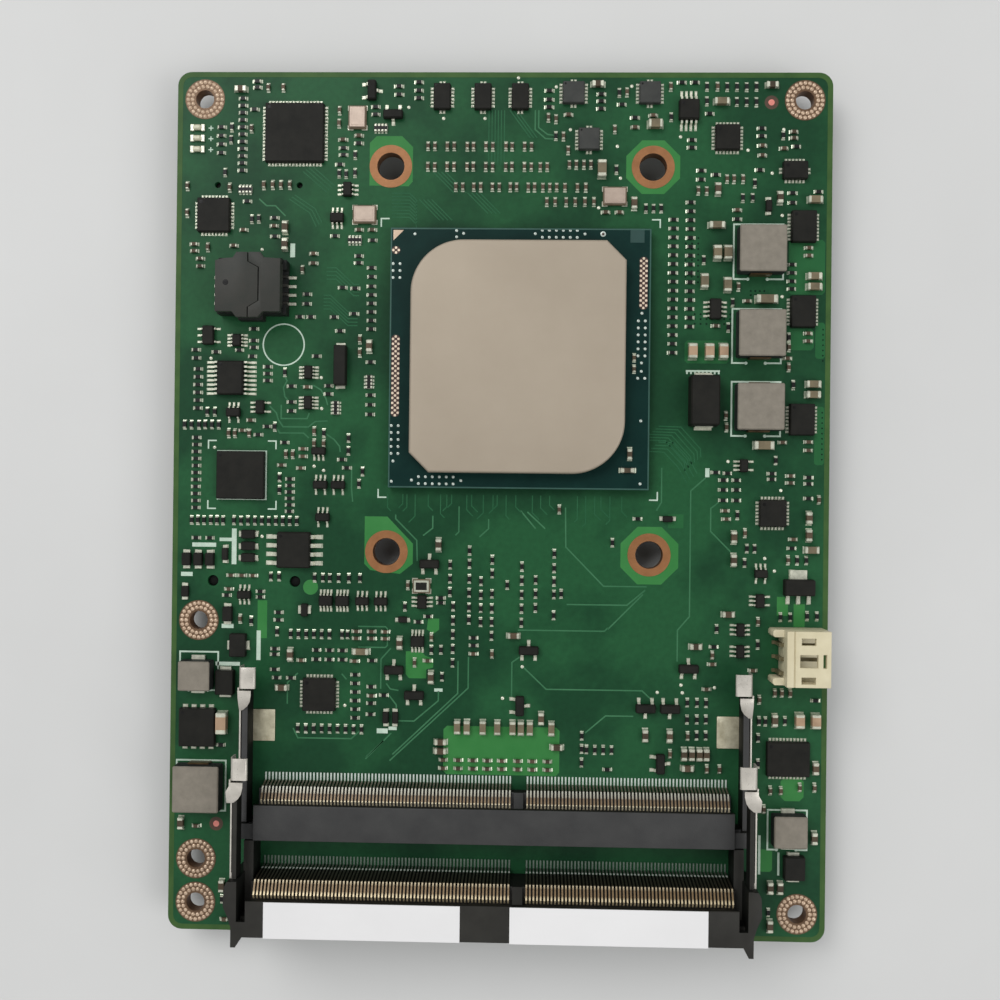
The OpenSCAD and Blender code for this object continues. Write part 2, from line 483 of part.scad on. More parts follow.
// Three-legged transistors: x, y, turn; unturned, one leg points to +Y and two to -Y
three_legged = [[-19, 59.7, -90], [-15.9, 56.2, 180], [-9.9, -8.9, 0], [4.6, -21.2, 0], [-14.9, -24.3, 0],
    [-11.9, -27.9, 0], [27.6, -23.5, 0], [21.5, -29.3, 180], [25, -29.3, 180], [3.4, -29.2, -90],
    [23.7, -37.2, -90]];
module transistors() color("dimgray") for (t = three_legged) translate([t[0], t[1], top + 0.08]) rotate(t[2])
    translate([-1.45, -0.65, 0]) cube([2.9, 1.3, 0.95]);
module transistor_leads() color("silver") for (t = three_legged) translate([t[0], t[1], top]) rotate(t[2]) {
    small_lead(0, 0.65, 1, 0.42);
    for (x = [-0.95, 0.95]) small_lead(x, -0.65, -1, 0.42);
}
module regulator() color("dimgray") block(43.2, -11.6, 4.4, 2.4, 1.5, top + 0.02);
module regulator_leads() color("silver") {
    block(43.2, -9.75, 2.4, 1.3, 0.35);
    for (x = [-1.5, 0, 1.5]) block(43.2 + x, -13.35, 0.5, 1.1, 0.3);
}

// Moulded coils: x, y, side, length, height
large_coils = [[37.2, 36.6], [37.2, 24.6], [37.1, 14.15], [-42.9, -41.5]];
small_coils = [[-43.4, -25.3, 4.6, 4.3, 2.8], [42, -46.2, 4.8, 4.6, 2.5]];
module coils() color("darkgray") {
    for (c = large_coils) block(c[0], c[1], coil_w, coil_w, coil_h - 0.3, top + 0.3);
    for (c = small_coils) block(c[0], c[1], c[2], c[3], c[4] - 0.2, top + 0.2);
}
module coil_clips() color("peru") {
    for (c = large_coils) for (s = [-1, 1]) {
        block(c[0], c[1] + s * (coil_w / 2 + 0.1), 3, 0.2, 1.6);
        block(c[0], c[1] + s * (coil_w / 2 - 0.7), 3, 1.4, 0.3);
    }
    for (c = small_coils) for (s = [-1, 1]) {
        block(c[0], c[1] + s * (c[3] / 2 + 0.3), 1.9, 0.6, 0.5);
        block(c[0], c[1] + s * (c[3] / 2 - 0.5), 1.9, 1, 0.2);
    }
}
module polymer_capacitor() color("dimgray") block(29.3, 15, 4.3, 7.3, 2.7, top + 0.1);
module polymer_terminals() color("silver") for (s = [-1, 1]) {
    block(29.3, 15 + s * 3.72, 2.5, 0.14, 1.4);
    block(29.3, 15 + s * 3.9, 2.5, 0.5, 0.1);
}
// Two-terminal moulded parts: x, y, width, length, height, terminals at left and right
diodes = [[-45.3, -8.6, 1.3, 1.9, 0.9, false], [-43.6, -8.6, 1.3, 1.9, 0.9, false],
    [-41.9, -8.6, 1.3, 1.9, 0.9, false], [-39.7, -7.8, 0.9, 1.8, 0.7, false],
    [-36.3, -4.9, 2, 1.3, 0.9, true], [-36.3, -6.6, 2, 1.3, 0.9, true], [-36.3, -8.3, 2, 1.3, 0.9, true],
    [-39.2, -16.5, 1.4, 2.2, 0.9, false], [-37.6, -21, 2.4, 3.4, 1.1, true],
    [-39.4, -26.4, 2.7, 3.6, 1.3, false], [42.9, -51.7, 3, 3.4, 1.3, false],
    [-23.1, 19.7, 1.8, 5.8, 1.7, false], [-16, -31.2, 0.9, 1.7, 0.7, false],
    [-14.6, -31.2, 0.9, 1.7, 0.7, false], [-13.7, -17, 1.3, 0.9, 0.6, true],
    [-45.5, -13.3, 1.1, 1.6, 0.6, false], [-28, -15.8, 1, 1.9, 0.7, true],
    [24.4, -2, 1.5, 0.9, 0.7, true], [38.4, 43.2, 0.9, 1.7, 0.7, false]];
module marked_diodes() color("dimgray") for (d = diodes) block(d[0], d[1], d[2], d[3], d[4]);
module diode_terminals() color("silver") for (d = diodes, s = [-1, 1]) {
    if (d[5]) block(d[0] + s * (d[2] / 2 + 0.2), d[1], 0.4, min(d[3] * 0.55, 1.2), 0.3);
    else block(d[0], d[1] + s * (d[3] / 2 + 0.2), min(d[2] * 0.7, 1.6), 0.4, 0.3);
}
// Crystals: ceramic base and seam-welded lid
crystals = [[-21.1, 55.8, 2.6, 3.3], [-19.9, 41.7, 3.4, 2.6], [16.3, 44.5, 3.4, 2.6], [-11, -12.1, 2.5, 2]];
module crystal_bases() color("tan") for (c = crystals) block(c[0], c[1], c[2], c[3], 0.5);
module crystal_lids() color("silver") for (c = crystals)
    block(c[0], c[1], c[2] - 0.3, c[3] - 0.3, 0.3, top + 0.5);
module indicator_lights() color("lightyellow") for (y = [54.3, 52.75, 51.15]) block(-44.5, y, 2.1, 1, 0.7);

// Packs of four resistors: x, y, turned so that the terminals are at left and right
packs = [[-37.4, 45.3, false], [-17.7, 54.3, false], [-21.3, 38, false], [-19, 17.4, true],
    [-23.8, 13.6, true]];
module resistor_packs() color("dimgray") for (p = packs) block(p[0], p[1], p[2] ? 1 : 2, p[2] ? 2 : 1, 0.45);

// Resistors 1.0 x 0.5 mm lying across the board
resistors_across = concat(column(-37.9, 58.6, 1.05, 11), at_x(-35.8, [61.1, 60.2]),
    column(-41, 54.4, 1.25, 4), at_x(-18.5, [57.4, 56.3]), at_x(-23.1, [51.4, 50.4]),
    column(24.8, 41.2, 1.28, 16), column(27.25, 43.7, 1.28, 15), column(-18.8, 31.3, 1.24, 6),
    at_x(-18.8, [20.3, 15.5, 14.1, 12.7]), column(-44, 19.1, 1.14, 6), column(-44.15, 9.1, 1.02, 11),
    column(-30.4, 3.2, 0.94, 6), at_x(-33.8, [19.5, 18.5, 17.5]), at_x(-30.3, [16.7, 14.4, 13.1]),
    at_x(-24.9, [16.8, 15.6]), at_x(-20.7, [35.7, 34.7]), at_x(-18.8, [34, 32.7]), at_x(-28.2, [30.1, 28.7]),
    at_x(-12.2, [61, 59.8, 58.7]), at_x(-15.1, [60.4, 59.2]), at_x(6.7, [59.8, 58.5, 57.4]),
    at_x(14.2, [59.3, 58.3, 57.2]), at_x(27.3, [52.7, 51.6]), at_x(37.3, [54.4, 53.3]),
    at_x(28.7, [48.3, 47]), at_x(41.8, [45.1, 43.7, 34.8, 33.6, 32.4, 31.3]), at_x(32.3, [3.7, 2.3, 0.8]),
    at_x(34.2, [3.7, 2.3, 0.8]), at_x(39.25, [4.7, 3.9]), at_x(44.5, [4.2, 3.3, 1.2]),
    at_x(-35.9, [25, 23.3, 22.3]), at_x(-34.5, [-13.2, -14]), at_x(-31.8, [-16.2, -17.3]),
    at_x(-32.3, [-21.5, -22.3, -24.5]), at_y([-26.2, -24.3, -22.4], -21.6),
    at_y([-26.2, -24.3, -22.4], -22.95),
    column(-20.5, -25.1, 1.25, 6), at_x(-18.2, [-26.8, -29.2, -30.8]), at_x(-3.4, [-19.5, -20.6]),
    at_x(-8.2, [-13.8, -14.5]),
    [[-36.2, 57], [-20.9, 52.1], [-23.6, 49], [-24.2, 38.6], [-18.7, 38], [-33.1, 41.2], [-33, 38.5],
    [-37.1, 43.6], [-44.4, 21.9], [-44.3, 20.7], [-41.4, 21.6], [-38, 21.9], [-36.1, 21], [-26.7, 21.1],
    [-29.2, 26.8], [-27.6, 26.8], [-24.2, 26.8], [-23, 31.1], [-21.2, 31], [-21.3, 27.3], [-23.3, 24.8],
    [-35.1, 9.6], [-33.8, 10.8], [-31.2, 8.5], [-22.8, 6.1], [-22.1, 4.9], [-44, -5.5], [-42, -5.5],
    [-39.4, -13.8], [-32, -25.7], [-29.9, -25.7], [-18.1, -23], [-16.3, -28], [-10, -16.5], [-11.4, -17.3],
    [25.8, 61], [27.7, 61], [29.8, 56.5], [30.8, 47.7], [33.9, 41.3], [17.2, 57.8], [19.1, 55.9],
    [45.5, 45.3], [42.3, 51.8], [37.1, 48.4], [20.1, -2], [31.2, -20.3], [45.8, -27.8], [16.1, -38.2],
    [-40, -35.6], [42.2, -6], [31.2, 4.8], [32.9, 4.7]]);
// Resistors 1.0 x 0.5 mm lying along the board
resistors_upright = concat(at_y([-44.7, -43.8, -42.9, -41.9, -41, -40.1], -2.9),
    row_along_x(-38.5, -2.9, 1.02, 10),
    at_y([-45.9, -44.9, -43.8, -42.9, -41.9, -40.9], 11), row_along_x(-28.8, -33, 1.16, 9),
    at_y([-26.6, -25.4, -24.4, -23.1, -21.6, -20], -11.1), row_along_x(-30, -19.3, 1.13, 6),
    at_x(-6.9, [-9, -11, -12.9]), column(-6.4, -15, 2.04, 5),
    at_x(-4.1, [-6.9, -8.8, -11, -13, -15.1, -16.9]),
    column(-2.4, -11.3, 1.97, 4), at_x(-0.8, [-8.2, -10.2, -13.1, -15.2, -17.2, -19.2]),
    column(3.5, -9.1, 2.03, 5), column(5.5, -11, 2.03, 3), at_x(8.15, [-7.2, -9.3, -11.2, -13.1, -16.1]),
    at_y([33.7, 35.1, 36.5], 58.2), at_y([29.4, 32.3, 33.7, 35.1, 36.5], 60.4), at_y([20.8, 21.9, 23], 42.8),
    at_y([27.5, 28.9, 30.2], -28.4), at_y([27.5, 28.9, 30.2], -30.8), at_y([28.9, 30.2], -33.1),
    at_x(12.4, [-33.4, -35.3, -37.3]), at_y([13.1, 14.3, 15.5, 16.7], -35.4), at_y([-9.5, -8.1], -21.3),
    at_y([35.8, 36.9], -6.1), at_y([43, 44.3], -7.7), at_y([40.7, 42.1], -15.9), at_y([44.5, 45.9], -15.7),
    at_y([34.7, 36.1], 44.4), at_y([37.8, 38.7], -30.9), at_y([-42.6, -41.5], 12.9),
    [[-39.5, 54.4], [-39.6, 52.6], [-21.4, 50.4], [-23.7, 47.7], [-22.7, 47.6], [-21.4, 47.8], [-40.4, 47.8],
    [-36.4, 41], [-35.4, 41.1], [-31.3, 18.7], [-32.7, 10.8], [-25.5, 9.9], [-21.9, 9.2], [-21.9, 7.4],
    [-19.8, 4.4], [-20.3, 2.6], [-31.9, 3.4], [-31.9, 1.6], [-33, -11], [-31.8, -11], [-32, -19],
    [-22.5, -19.3], [-21.7, -19.3], [-13.4, -15.1], [-7.9, -25.2], [1.4, -11.8], [9.2, -13], [16.5, -5.5],
    [16.8, 59.5], [24.3, 56], [29.4, 58.3], [16.5, 48.4], [7.7, 53.2], [36.4, 46.5], [29.2, 35.4],
    [33.4, 29.3], [32.8, 25.7], [41.5, 24.3], [42.2, 17.5], [39.8, 6.6], [34.4, -1.3], [31.6, -17.7],
    [37.5, -19.9], [35.5, -8.2], [41.5, -30.8], [37.7, -33.3], [37.7, -37], [39.4, -58.3], [-39.6, -58],
    [-35.8, -17.5], [40.4, 53.4]]);
// Ceramic capacitors 1.0 x 0.5 mm lying across the board, the first of them in pairs by the low socket
small_across = concat([for (x = [-7.6, -5.4, -3.3, -1.2, 0.9, 3.2, 5.3, 7.5], y = [-37.2, -38.4]) [x, y]],
    at_x(-44.8, [37.3, 36.3]), at_x(-43.9, [35.2, 34.1]), at_x(-27.3, [36, 34.6]),
    at_x(-28.5, [7.6, 6.5]), at_x(44.2, [37.2, 36.1, 24.9, 23.8]), at_x(44.4, [9.3, 8.1]),
    at_x(41.9, [4.4, 3.4]), at_x(37.4, [51.9, 50.5]), at_x(41.9, [53.9, 53]),
    at_y([-38.8, -37.2, -35.6], -10.9), at_x(-16.2, [-18.8, -19.8]),
    at_x(-20.4, [-18.8, -19.8]), at_x(-18.2, [-18.8, -19.8]), at_y([-20.7, -18.8], 39.5),
    [[-23.2, 52.6], [-20.9, 53.2], [-33.1, 40], [-37.6, 39.4], [-39, 37.1], [-28, 16.6], [-37.4, 10.2],
    [-36.2, 11.7], [-31.6, 5.2], [-28.8, 4.8], [-39.1, -12.9], [-28.4, -23.1], [-20.6, -23.1], [-18.1, -28.1],
    [-10, -22.9], [-3.4, -21.8], [9.5, 56.3], [15, 42.2], [17, 42.2], [19.1, 54.5], [21.7, 56.2],
    [40.5, 51.5], [33.9, 42.6], [35.5, 29.5], [41.3, 21.3], [40.7, 9.2], [31, 25.9], [32.6, -0.7],
    [32.8, -1.9], [42.4, -4.7], [31, -22.8], [30.2, -26.4], [-43.5, -47.4], [-39.2, -60.9], [36.8, -23.6]]);
// Ceramic capacitors 1.0 x 0.5 mm lying along the board, most of them in pairs above the processor
small_upright = concat(at_y([-10.8, -9.8, -8, -7, -5.1, -4.2, -2.4, -1.4, 0.5, 1.4, 3.2, 4.2], 51.7),
    at_y([-10.8, -9.8, -8, -7, -5.1, -4.2, -2.4, -1.4, 0.5, 1.4, 3.2, 4.2, 5.5, 6.5], 48.75),
    at_y([-6.7, -5.7, -4.1, -3.1, -1.4, -0.4, 1.2, 2.1, 3.8, 4.7, 5.9, 6.9, 7.9, 9.1, 10.9, 12.1], 45.8),
    at_y([6.5, 7.7, 9.3, 10.6, 12, 13.3], 43.7), at_y([9.7, 10.7, 11.8, 12.8], 49.1),
    at_y([-34.7, -33.4, -32.2, -30.9], 46), at_y([-34.2, -32], 60.2),
    at_y([-45.9], 45.8), at_y([-45.9], 41.9),
    at_y([28.3, 29.5], 45.4), at_y([32.4, 33.4, 34.7], 47.1),
    at_y([-31, -30], 6.8), at_y([-26.9, -25.5], 8.4),
    at_y([-39.4, -38.5], 9.8), at_y([40, 41, 42.2], -26.8),
    at_y([39.5, 41], -40.8), at_y([43.7, 45.8], -40.3),
    at_y([30.9, 24.2], 60.4), at_y([30.4, 32.2], -37.9),
    [[-23.75, 56.9], [-23.8, 55], [-36.6, 54.2], [-28.9, 33.7], [-39.7, 45.6], [-42.8, 36.9], [-20.4, 23.6],
    [-20.4, 21.7], [-36.4, 9.8], [-26.9, 10.2], [6.6, 55.9], [7.7, 55.7], [8.8, 53.2], [9.5, 51.2],
    [17.9, 59.6], [16.2, 54.2], [34.2, 31.6], [32.6, 13], [32.7, 11.3], [46, 1], [41.5, 22.9], [41.5, 20],
    [-37.4, -17.2], [-13, -12], [-9.5, -19.5], [-11.9, -23.2], [-0.7, -21.8], [8.8, -0.8], [35.5, -3.9],
    [41.7, -7.7], [37.5, -16.6], [31, -21.5], [27.6, -33.2], [25.1, -35.8], [38.6, -43.5], [37.8, -27.8]]);
// Capacitors 1.7 x 0.85 mm: across the board, then along it
medium_across = [[-38.2, 59.9], [13.7, 60.7], [38.7, 60.6], [-31.2, -27.1], [2.4, -19.1],
    [28.6, -20.3], [33.2, -15.6], [-8, -34.6], [-8, -35.9], [8.8, -35.1], [27.6, -37.8]];
medium_upright = concat(at_y([27.1, 28.2, 29.3, 30.3], -35.8), at_y([39.6, 41], -54.7),
    [[-31.5, 39.8], [-31.5, 37.3], [31.1, 45.6], [40, 44.4], [19.1, 43.5],
    [-19, 22.6], [-30, -22.3], [-14.1, -20.4], [-8.6, -6.1], [33.9, -4.5], [33.9, -7.8], [6.5, -31],
    [21.5, -33.2], [25, -33.2], [40, -30.7], [45.9, -37.5], [45.8, -47.5], [-45.7, -47], [-39.6, -56],
    [39.6, -60.2], [44.6, -1.6], [44.6, -4.1], [-9.5, -25.3]]);
// Larger capacitors: x, y, width, length, height
large = concat([for (x = [27.7, 30.1, 32.1]) [x, 22.2, 1.25, 2.1, 1.2]],
    [for (x = [-5.6, -4.2, -1.9, 0.2, 2.4, 3.6, 4.9, 8]) [x, -32.4, 0.9, 1.9, 0.9]],
    [for (x = [31.1, 32.6]) [x, 36.4, 1.15, 2, 1.1]], [for (x = [43.5, 45.8]) [x, -30.7, 1.25, 2, 1.2]],
    [for (y = [33.1, 31.6, 17.6, 16.1, 44.1, -6.2]) [45, y, 2, 1, 0.9]],
    [[14.4, 48.4, 1.25, 2.4, 1.2], [31.5, 58.2, 2.1, 0.95, 0.9],
    [22, 54.9, 2, 1.2, 1.1], [31, 40.4, 2.2, 0.95, 0.9], [29.3, 32.3, 1.1, 2, 1], [32.6, 31.8, 1.1, 2, 1],
    [38.2, 29.75, 3, 1.2, 1.1], [38, 8.75, 2.8, 1.2, 1.1], [-19.7, -21.7, 2.3, 0.9, 0.9],
    [-39.8, -32.3, 1.5, 3.1, 1.4]]);
module resistors() color("dimgray") {
    for (p = resistors_across) block(p[0], p[1], 1, 0.5, 0.35);
    for (p = resistors_upright) block(p[0], p[1], 0.5, 1, 0.35);
}
module small_capacitors() color("tan") {
    for (p = small_across) block(p[0], p[1], 1, 0.5, 0.5);
    for (p = small_upright) block(p[0], p[1], 0.5, 1, 0.5);
}
module medium_capacitors() color("tan") {
    for (p = medium_across) block(p[0], p[1], 1.7, 0.85, 0.8);
    for (p = medium_upright) block(p[0], p[1], 0.85, 1.7, 0.8);
}
module large_capacitors() color("tan") for (c = large) block(c[0], c[1], c[2], c[3], c[4]);

circuit_board();
mounting_hole_lands();
spreader_hole_lands();
processor_substrate();
processor_lid();
processor_dies();
processor_balls();
processor_capacitors();
low_socket_housing();
low_front_contacts();
low_rear_contacts();
low_left_latch();
low_right_latch();
low_hold_downs();
tall_socket_housing();
tall_front_contacts();
tall_rear_contacts();
tall_left_latch();
tall_right_latch();
tall_hold_downs();
left_label();
right_label();
outer_plug_housing();
outer_plug_contacts();
inner_plug_housing();
inner_plug_contacts();
fan_header_housing();
fan_header_pins();
flash_socket_base();
flash_left_cover();
flash_right_cover();
flash_socket_contacts();
flash_chip();
controller_chips();
driver_chips();
power_stage_chips();
leadless_terminals();
ball_grid_chip();
gull_wing_chips();
gull_wing_leads();
logic_chips();
logic_leads();
transistors();
transistor_leads();
regulator();
regulator_leads();
coils();
coil_clips();
polymer_capacitor();
polymer_terminals();
marked_diodes();
diode_terminals();
crystal_bases();
crystal_lids();
indicator_lights();
resistor_packs();
resistors();
small_capacitors();
medium_capacitors();
large_capacitors();
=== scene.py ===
"""Plug-in processor board, seen from straight above its component side.

Sizes and places are in millimetres, in the board's own frame: the middle of the corner holes is
the origin, +Y points away from the memory sockets and the component side lies at z = 2.
"""
import math
import random

import bmesh
import bpy
import numpy as np
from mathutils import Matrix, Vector


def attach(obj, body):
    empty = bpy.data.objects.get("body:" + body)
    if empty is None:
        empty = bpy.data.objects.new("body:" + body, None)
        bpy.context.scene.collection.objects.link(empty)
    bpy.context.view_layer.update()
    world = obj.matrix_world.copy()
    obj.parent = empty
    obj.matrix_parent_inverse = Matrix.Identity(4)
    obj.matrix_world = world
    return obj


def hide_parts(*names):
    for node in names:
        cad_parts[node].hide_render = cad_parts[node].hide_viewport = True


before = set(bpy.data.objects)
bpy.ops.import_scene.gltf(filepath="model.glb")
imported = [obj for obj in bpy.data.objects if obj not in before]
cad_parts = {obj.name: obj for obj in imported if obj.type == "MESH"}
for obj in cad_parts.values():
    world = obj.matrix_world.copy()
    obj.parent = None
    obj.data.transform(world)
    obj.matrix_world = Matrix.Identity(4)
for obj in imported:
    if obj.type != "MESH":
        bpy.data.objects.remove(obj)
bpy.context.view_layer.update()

# The camera hangs 165 mm above the board, a little right of its middle.


def add_object(name, data):
    """An object in the scene that shows the given data."""
    thing = bpy.data.objects.new(name, data)
    bpy.context.scene.collection.objects.link(thing)
    return thing


camera = add_object("camera", bpy.data.cameras.new("camera"))
bpy.context.scene.camera = camera
camera.location = (0.00463, -0.00009, 0.165)
camera.rotation_euler = [math.radians(turn) for turn in (0.22, 1.55, 0.65)]
camera.data.sensor_width = 36
camera.data.lens = 40.54
camera.data.clip_start = 0.01

# Circuit board. Glass-fibre laminate with etched copper under a green solder resist, and white
# ink printed on top. The copper shows through the resist as lighter fields and lines.
BOARD_TOP = 2.0
BOARD_HALF = (47.5, 62.5)
BOARD_CORNER = 2.0
RESIST_THICK = 0.012


def paint(red, green, blue):
    """A colour as it is read off a screen, 0 to 255, for a shader."""
    shares = [c / 255 for c in (red, green, blue)]
    return tuple(((c + 0.055) / 1.055) ** 2.4 if c > 0.04 else c / 12.92 for c in shares) + (1.0,)


def new_finish(name):
    """An empty material, its shader, and the functions that add a node and link two sockets."""
    material = bpy.data.materials.new(name)
    material.use_nodes = True
    tree = material.node_tree

    def add(kind, **values):
        node = tree.nodes.new(kind)
        for key, value in values.items():
            if key in node.inputs:
                node.inputs[key].default_value = value
            else:
                setattr(node, key, value)
        return node

    return material, tree.nodes["Principled BSDF"], add, tree.links.new


def surface(name, dark, light, rough, metal=0.0, patch=0.4, grain=6.0, bump=0.1, gloss=0.5, soft=0.5):
    """A finish that drifts between two colours in patches and has a fine grain in its relief.

    patch and grain are how many waves of the noise go in a millimetre; soft is how gently the two
    colours meet; wear is how far the grain moves the roughness.
    """
    wear = 0.08
    material, shader, add, link = new_finish(name)
    place = add("ShaderNodeTexCoord")
    cloud = add("ShaderNodeTexNoise", Scale=patch * 1000, Detail=5.0, Roughness=0.6)
    spread = add("ShaderNodeMapRange", **{"From Min": 0.5 - soft / 2, "From Max": 0.5 + soft / 2})
    colours = add("ShaderNodeMix", data_type="RGBA")
    colours.inputs[6].default_value = paint(*dark)
    colours.inputs[7].default_value = paint(*light)
    fine = add("ShaderNodeTexNoise", Scale=grain * 1000, Detail=3.0)
    relief = add("ShaderNodeBump", Strength=bump, Distance=0.00005)
    polish = add("ShaderNodeMapRange",
                 **{"To Min": max(rough - wear, 0.02), "To Max": min(rough + wear, 1.0)})
    for texture in (cloud, fine):
        link(place.outputs["Object"], texture.inputs["Vector"])
    link(cloud.outputs["Fac"], spread.inputs["Value"])
    link(spread.outputs["Result"], colours.inputs[0])
    link(colours.outputs[2], shader.inputs["Base Color"])
    link(fine.outputs["Fac"], relief.inputs["Height"])
    link(relief.outputs["Normal"], shader.inputs["Normal"])
    link(fine.outputs["Fac"], polish.inputs["Value"])
    link(polish.outputs["Result"], shader.inputs["Roughness"])
    shader.inputs["Metallic"].default_value = metal
    shader.inputs["Specular IOR Level"].default_value = gloss
    return material


def resist_finish():
    """Solder resist: a glossy green skin, darker where no copper plane lies under it."""
    material, shader, add, link = new_finish("solder_resist")
    place = add("ShaderNodeTexCoord")
    planes = add("ShaderNodeTexNoise", Scale=60.0, Detail=4.0, Roughness=0.55)
    weave = add("ShaderNodeTexNoise", Scale=1400.0, Detail=4.0)
    step = add("ShaderNodeMapRange", **{"From Min": 0.42, "From Max": 0.58})
    base = add("ShaderNodeMix", data_type="RGBA")
    base.inputs[6].default_value = paint(21, 61, 37)
    base.inputs[7].default_value = paint(32, 80, 48)
    flecks = add("ShaderNodeMix", data_type="RGBA", blend_type="OVERLAY")
    flecks.inputs[0].default_value = 0.2
    relief = add("ShaderNodeBump", Strength=0.1, Distance=0.00004)
    for texture in (planes, weave):
        link(place.outputs["Object"], texture.inputs["Vector"])
    link(planes.outputs["Fac"], step.inputs["Value"])
    link(step.outputs["Result"], base.inputs[0])
    link(base.outputs[2], flecks.inputs[6])
    link(weave.outputs["Fac"], flecks.inputs[7])
    link(flecks.outputs[2], shader.inputs["Base Color"])
    link(weave.outputs["Fac"], relief.inputs["Height"])
    link(relief.outputs["Normal"], shader.inputs["Normal"])
    shader.inputs["Roughness"].default_value = 0.4
    shader.inputs["Specular IOR Level"].default_value = 0.14
    return material


resist = resist_finish()
resist_on_plane = surface("resist_on_copper_plane", (44, 110, 53), (60, 124, 66), 0.4, patch=0.15, gloss=0.15)
resist_on_field = surface("resist_on_copper_field", (30, 84, 47), (42, 98, 56), 0.4, patch=0.15, gloss=0.15)
resist_on_track = surface("resist_on_track", (46, 96, 64), (66, 116, 82), 0.4, patch=0.2, gloss=0.15)
resist_on_fine_track = surface("resist_on_fine_track", (30, 80, 51), (44, 95, 63), 0.4, patch=0.3, gloss=0.15)
via_green = surface("resist_over_via", (6, 30, 18), (12, 42, 26), 0.5, patch=0.6, gloss=0.1)
laminate = surface("bare_laminate", (46, 76, 36), (64, 94, 46), 0.5, patch=0.3, gloss=0.2)
white_ink = surface("white_ink", (164, 186, 168), (196, 212, 196), 0.6, patch=0.8, grain=8, gloss=0.2)
tin = surface("tin_and_solder", (178, 180, 162), (226, 226, 206), 0.3, metal=0.4, patch=1.2, grain=5,
              bump=0.3)
copper = surface("bare_copper", (134, 90, 52), (158, 108, 68), 0.42, metal=0.4, patch=0.5, grain=8, bump=0.25)
land_brown = surface("mounting_land_copper", (84, 62, 42), (112, 86, 62), 0.42, metal=0.4, patch=0.9,
                     grain=8, bump=0.3)


def dress(node, finish):
    """Gives a CAD part its finish."""
    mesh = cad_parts[node].data
    mesh.materials.clear()
    mesh.materials.append(finish)


def dress_parts(node, finishes, choose):
    """Gives a CAD part several finishes; choose picks one by the middle of each face, in mm."""
    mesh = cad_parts[node].data
    mesh.materials.clear()
    for finish in finishes:
        mesh.materials.append(finish)
    for face in mesh.polygons:
        face.material_index = choose(face.center * 1000)


def place_mesh(name, mesh, body, instead_of, smooth):
    """Puts a mesh on its body; edges under smooth degrees are shaded round."""
    if smooth is not None:
        mesh.polygons.foreach_set("use_smooth", [True] * len(mesh.polygons))
        mesh.set_sharp_from_angle(angle=math.radians(smooth))
    thing = add_object(name, mesh)
    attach(thing, body)
    if instead_of:
        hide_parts(*instead_of)
    return thing


def piece(name, solids, finishes, body="module", instead_of=(), smooth=None):
    """One object from many solids. Each solid is (points in mm, faces, number of its finish)."""
    points, faces, marks = [], [], []
    start = 0
    for corners, rings, mark in solids:
        points.append(np.asarray(corners, float))
        faces += [[start + i for i in ring] for ring in rings]
        marks += [mark] * len(rings)
        start += len(corners)
    mesh = bpy.data.meshes.new(name)
    mesh.from_pydata((np.vstack(points) / 1000).tolist(), [], faces)
    mesh.polygons.foreach_set("material_index", marks)
    for finish in finishes:
        mesh.materials.append(finish)
    even = bmesh.new()
    even.from_mesh(mesh)
    bmesh.ops.recalc_face_normals(even, faces=even.faces)
    even.to_mesh(mesh)
    even.free()
    return place_mesh(name, mesh, body, instead_of, smooth)


def field(outline, low=BOARD_TOP, thick=RESIST_THICK, mark=0):
    """A flat raised area with the given outline."""
    n = len(outline)
    points = [(x, y, low) for x, y in outline] + [(x, y, low + thick) for x, y in outline]
    faces = [list(range(n))[::-1], list(range(n, 2 * n))]
    faces += [[i, (i + 1) % n, n + (i + 1) % n, n + i] for i in range(n)]
    return points, faces, mark


def oblong(x0, y0, x1, y1, cut=0.0, low=BOARD_TOP, thick=RESIST_THICK, mark=0):
    """A flat raised oblong with cut corners."""
    outline = [(x0 + cut, y0), (x1 - cut, y0), (x1, y0 + cut), (x1, y1 - cut),
               (x1 - cut, y1), (x0 + cut, y1), (x0, y1 - cut), (x0, y0 + cut)]
    return field(outline if cut else outline[::2], low, thick, mark)


def track(points, width=0.2, low=BOARD_TOP, thick=1.5 * RESIST_THICK, mark=0, closed=False):
    """A ribbon of even width along some points, mitred at the bends."""
    points = [np.array(p, float) for p in points]
    n = len(points)
    left, right = [], []
    for i, point in enumerate(points):
        ways = []
        if i or closed:
            ways.append(point - points[i - 1])
        if i + 1 < n or closed:
            ways.append(points[(i + 1) % n] - point)
        ways = [way / np.linalg.norm(way) for way in ways]
        along = sum(ways) / np.linalg.norm(sum(ways))
        stretch = 1 / max(float(np.dot(along, ways[0])), 0.5)
        side = np.array((-along[1], along[0])) * width / 2 * stretch
        left.append(point + side)
        right.append(point - side)
    corners = [(*p, z) for z in (low, low + thick) for edge in (left, right) for p in edge]
    faces = []
    for i in range(n if closed else n - 1):
        j = (i + 1) % n
        for a, b in ((2, 3), (0, 2), (3, 1), (1, 0)):
            faces.append([a * n + i, a * n + j, b * n + j, b * n + i])
    if not closed:
        faces += [[0, n, 3 * n, 2 * n], [n - 1, 2 * n - 1, 4 * n - 1, 3 * n - 1]]
    return corners, faces, mark


def circle(x, y, radius, sides, turned=0.0):
    """Even points round a middle; the first lies turned steps on from the east."""
    turns = [2 * math.pi * (i + turned) / sides for i in range(sides)]
    return [(x + radius * math.cos(turn), y + radius * math.sin(turn)) for turn in turns]


def round_line(x, y, radius, width, low=BOARD_TOP, thick=RESIST_THICK):
    """A ribbon in a circle."""
    return track(circle(x, y, radius, 48), width, low, thick, closed=True)


